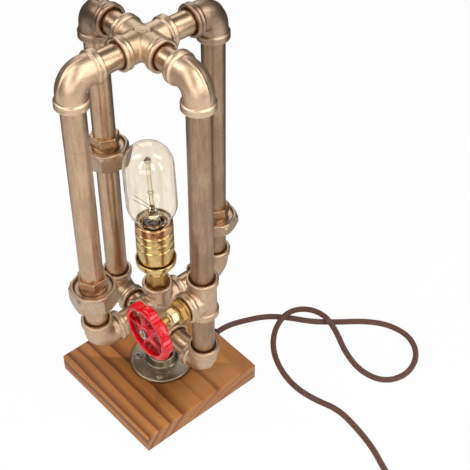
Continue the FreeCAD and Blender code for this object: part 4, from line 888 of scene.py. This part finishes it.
cast("gland_nut", PALE_BRASS, "stand", "brass", voxel=0.35, soften=2)
cast("wheel_nut", NUT_STEEL, "wheel", "nut", voxel=0.25, soften=2)

# ------------ pipes and nipples
PIPE_OUTER, PIPE_INNER = 10.65, 7.95  # radii in millimetres
NIPPLE_START = 16.0  # millimetres from a fitting's middle to the pipe's end inside it
THREAD_RADIUS, THREAD_PITCH, THREAD_CREST = 10.72 * MM, 1.8 * MM, 0.55 * MM


def pipe_mesh(length):
    """Tube along Z from 0 to length in millimetres, with the place from its own axis kept on its points."""
    piece = turned("pipe", [(PIPE_INNER, 0), (PIPE_OUTER, 0, 0.3), (PIPE_OUTER, length, 0.3), (PIPE_INNER, length)])
    data = piece.data
    places = np.empty(len(data.vertices) * 3, np.float32)
    data.vertices.foreach_get("co", places)
    data.attributes.new("pipe_place", "FLOAT_VECTOR", "POINT").data.foreach_set("vector", places)
    bpy.data.objects.remove(piece)
    return data


def riser(node):
    """Upright pipe in the node's place."""
    low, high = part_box(node)
    data = pipe_mesh((high.z - low.z) / MM)
    data.transform(Matrix.Translation(((low.x + high.x) / 2, (low.y + high.y) / 2, low.z)))
    # painted shade: the right and rear risers take a darker copy of the pipe bronze
    finish = SHADED_PIPE if node.startswith(("right", "rear")) else PIPE_BRONZE
    dress(linked(node + "_brushed", data), finish, "stand", "pipe", node)


def nipples(node, spans, heights):
    """The level pipes of one node, joined; spans holds each one's start and end from the lamp's axis."""
    shape = bmesh.new()
    for side, (start, end) in spans.items():
        data = pipe_mesh(end - start)
        place = Matrix.Rotation(math.radians(HEADINGS[side]), 4, "Z") @ Matrix.Translation((start * MM, 0, 0))
        data.transform(Matrix.Translation((0, 0, heights[side] * MM)) @ place @ Matrix.Rotation(math.pi / 2, 4, "Y"))
        shape.from_mesh(data)
        bpy.data.meshes.remove(data)
    joined = meshed(node + "_brushed", shape)
    joined.set_sharp_from_angle(angle=math.radians(SHARP))
    dress(linked(node + "_brushed", joined), PIPE_BRONZE, "stand", "pipe", node)


def thread_turns(name, side, start, height, turns):
    """Cut thread left showing at the end of a nipple, from start outwards; start and height are in millimetres."""
    heading = math.radians(HEADINGS[side])
    tree = Tree(name, Radius=THREAD_RADIUS, Pitch=THREAD_PITCH, Turns=float(turns), Crest=THREAD_CREST,
                Place=tuple(Vector((math.cos(heading) * start, math.sin(heading) * start, height)) * MM),
                Turn=(0.0, math.pi / 2, heading), Finish=PIPE_BRONZE)
    rise = tree.node("ShaderNodeMath", {"operation": "MULTIPLY"}, {0: tree.inputs["Pitch"], 1: tree.inputs["Turns"]})
    placed = tree.node("GeometryNodeTransform", None, {
        "Geometry": tree.wound_ridge(48, rise), "Translation": tree.inputs["Place"], "Rotation": tree.inputs["Turn"]})
    dress(tree.grown(placed), PIPE_BRONZE, "stand", "pipe")


for side in ("front", "rear", "left", "right"):
    riser(side + "_lower_pipe")
    riser(side + "_upper_pipe")
riser("flange_nipple")
nipples("top_nipples", {side: (NIPPLE_START, reach - NIPPLE_START) for side, reach in REACHES.items()},
        dict.fromkeys(REACHES, TOP_LEVEL))
LOWER_ENDS = {"right": 63.0, "rear": 62.0, "left": 56.0, "front": 61.0}
nipples("lower_nipples", {side: (NIPPLE_START, end) for side, end in LOWER_ENDS.items()}, LEVELS)
thread_turns("top_front_thread", "front", 28.2, TOP_LEVEL, 3)
thread_turns("lower_right_thread", "right", 47.2, LEVELS["right"], 2)
thread_turns("lower_front_thread", "front", 45.2, LEVELS["front"], 2)

# ------------ base
dress(smooth_shaded(copied("wood_base_board", "wood_base"), 40), WOOD, "stand", "wood", "wood_base")

RECESS_LENGTH, RECESS_WIDTH, RECESS_TALL = 4.6, 1.1, 2.6  # millimetres, of each bar of a screw's cross
RECESS_MIDDLE = 4.4  # height of the bars' middle on the screw


def flange_screws():
    """Cross-recess countersunk screws on the flange's bolt circle."""
    head = turned("screw_pattern", [(0, 0), (2.0, 0), (2.0, 1.8), (4.2, 4.0, 0.15), (3.2, 4.25, 0.4), (0, 4.5)],
                  around=40)
    cutter = bmesh.new()
    for length, width in ((RECESS_LENGTH, RECESS_WIDTH), (RECESS_WIDTH, RECESS_LENGTH)):
        bmesh.ops.create_cube(cutter, size=1.0, matrix=Matrix.Translation((0, 0, RECESS_MIDDLE * MM)) @ Matrix.Diagonal(
            (length * MM, width * MM, RECESS_TALL * MM, 1.0)))
    cross = linked("screw_cross", meshed("screw_cross", cutter))
    recess = head.modifiers.new("recess", "BOOLEAN")
    recess.operation = "DIFFERENCE"
    recess.object = cross
    recess.solver = "EXACT"
    recess.use_self = True
    smooth_shaded(settled(head), SHARP)
    tree = Tree("flange_screw_heads", Circle=26 * MM, Screws=4, Lift=22 * MM, Turn=(0.0, 0.0, math.pi / 4),
                Screw=head, Finish=SCREW_STEEL)
    size = tree.inputs
    ring = tree.node("GeometryNodeMeshCircle", None, {"Vertices": size["Screws"], "Radius": size["Circle"]})
    screw = tree.node("GeometryNodeObjectInfo", None, {"Object": size["Screw"], "As Instance": True}, "Geometry")
    placed = tree.node("GeometryNodeInstanceOnPoints", None, {"Points": ring, "Instance": screw})
    lift = tree.node("ShaderNodeCombineXYZ", None, {"Z": size["Lift"]})
    piece = tree.grown(tree.node("GeometryNodeTransform", None, {
        "Geometry": placed, "Translation": lift, "Rotation": size["Turn"]}))
    bpy.data.objects.remove(head)
    bpy.data.objects.remove(cross)
    dress(piece, SCREW_STEEL, "stand", "screw", "flange_screws")


flange_screws()

# ------------ lamp holder
dress(turned("holder_cup_spun", [
    (6.5, 162), (12.7, 162, 0.8), (12.7, 165.5, 0.8), (13.5, 165.9), (19.2, 171.5, 2.5), (20.2, 173.5, 1.0),
    (20.2, 179.5, 0.5), (19.0, 179.5), (19.0, 175), (18.0, 173), (6.5, 173)]),
    YELLOW_BRASS, "stand", "brass", "holder_cup")


CUP_LEDGE, SHELL_TOP = 173, 229  # heights in millimetres
RIB_START, RIB_PITCH, RIBS = 190.5, 9.6, 3


def shell_outline():
    """Barrel with ribs and a rolled rim, from the cup's ledge to the top."""
    outline = [(17.7, CUP_LEDGE), (17.7, RIB_START)]
    for rib in range(RIBS):
        low = RIB_START + RIB_PITCH * rib
        outline += [(18.7, low + 0.9, 0.7), (18.7, low + RIB_PITCH - 1.6, 0.7), (17.6, low + RIB_PITCH - 0.4)]
    return outline + [(18.6, 220.3, 0.6), (18.6, SHELL_TOP, 0.9), (16.8, SHELL_TOP, 0.3), (16.8, CUP_LEDGE)]


dress(turned("holder_shell_spun", shell_outline()), SHELL_BRASS, "stand", "brass", "holder_shell")

# ------------ bulb
CAP_TOP = 224.5  # heights and radii of the bulb are millimetres
LEAN_DEGREES, LEAN_AXIS = 1.9, Vector((0.94, -0.34, 0))
LEAN = (Matrix.Translation((0, 0, CAP_TOP * MM)) @ Matrix.Rotation(math.radians(LEAN_DEGREES), 4, LEAN_AXIS)
        @ Matrix.Translation((0, 0, -CAP_TOP * MM)))
GLASS_RADIUS, GLASS_WALL = 24.8, 0.8
SIDE_START, SIDE_STEP, DOME_MIDDLE = 253.0, 9.04, 298.2
SHOULDER = [(14.0, 230.0), (19.2, 236.5), (23.5, 244.0), (GLASS_RADIUS, SIDE_START)]
SHOULDER_SLOPES = (0.55, 0.85, 0.40, 0.0)  # radius gained for each millimetre of height at those points
SHOULDER_STEPS, DOME_STEPS = 8, 16


def envelope_side(inset):
    """Right-hand side of the glass from its neck to the top, inset by the wall; the shoulder is a smooth curve."""
    radius = GLASS_RADIUS - inset
    points = [(13.0 - inset, 225.3), (13.3 - inset, 228.0)]
    for (r0, z0), (r1, z1), slope0, slope1 in zip(SHOULDER, SHOULDER[1:], SHOULDER_SLOPES, SHOULDER_SLOPES[1:]):
        for step in range(SHOULDER_STEPS):
            t = step / SHOULDER_STEPS
            span = z1 - z0
            r = ((2 * t ** 3 - 3 * t ** 2 + 1) * r0 + (t ** 3 - 2 * t ** 2 + t) * span * slope0
                 + (3 * t ** 2 - 2 * t ** 3) * r1 + (t ** 3 - t ** 2) * span * slope1)
            points.append((r - inset, z0 + t * span))
    points += [(radius, SIDE_START + SIDE_STEP * step) for step in range(5)]
    for step in range(1, DOME_STEPS + 1):
        angle = math.pi / 2 * step / DOME_STEPS
        points.append((max(radius * math.cos(angle), 0.0), DOME_MIDDLE + radius * math.sin(angle)))
    return points


def leaning(piece):
    piece.data.transform(LEAN)
    return piece


def bulb():
    glass = leaning(turned("bulb_envelope", envelope_side(0.0) + envelope_side(GLASS_WALL)[::-1], sharp=60))
    dress(glass, BULB_GLASS, "bulb", "glass", "bulb_glass")
    stem = leaning(turned("bulb_stem_glass", [
        (0, 236.0), (3.9, 233.8, 1.0), (6.2, 230.0, 1.0), (6.8, 225.3), (7.6, 225.3), (7.0, 230.5, 1.5),
        (4.7, 234.5, 1.5), (4.7, 239.5, 1.0), (3.1, 244.5, 1.0), (2.2, 249.5, 1.0), (2.2, 305.3), (2.7, 306.0, 0.3),
        (2.2, 306.5, 0.2), (0, 306.5)], sharp=60, around=48))
    dress(stem, STEM_GLASS, "bulb", "stem", "bulb_stem")
    cap = turned("bulb_cap_drawn", [
        (0, 198.0), (4.5, 198.0, 0.5), (4.5, 199.0), (12.2, 200.5), (12.7, 202.5), (12.7, 222.5), (13.2, 223.0, 0.2),
        (13.2, CAP_TOP, 0.3), (11.2, CAP_TOP), (11.2, 201.0), (0, 201.0)])
    dress(cap, CAP_BRASS, "bulb", "thread_shell", "bulb_cap")
    tree = Tree("bulb_cap_thread", Radius=12.62 * MM, Rise=18 * MM, Turns=5.0, Crest=0.55 * MM,
                Place=(0.0, 0.0, 203.5 * MM), Finish=CAP_BRASS)
    placed = tree.node("GeometryNodeTransform", None, {
        "Geometry": tree.wound_ridge(40, tree.inputs["Rise"]), "Translation": tree.inputs["Place"]})
    dress(tree.grown(placed), CAP_BRASS, "bulb", "thread_shell")


bulb()

# ------------ CAD nodes that keep their shape
KEPT = {
    "base_felt": FELT, "switch_module": SWITCH_PLASTIC, "switch_leads": LEAD_PVC, "holder_leads": LEAD_PVC,
    "holder_insert": PORCELAIN, "holder_sleeve": CAP_BRASS, "inner_cord": PLUG_RUBBER, "bulb_filament": FILAMENT_WIRE,
    "valve_spindle": DULL_BRASS,
}
for node, material in KEPT.items():
    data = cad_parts[node].data
    data.materials.clear()
    data.materials.append(material)
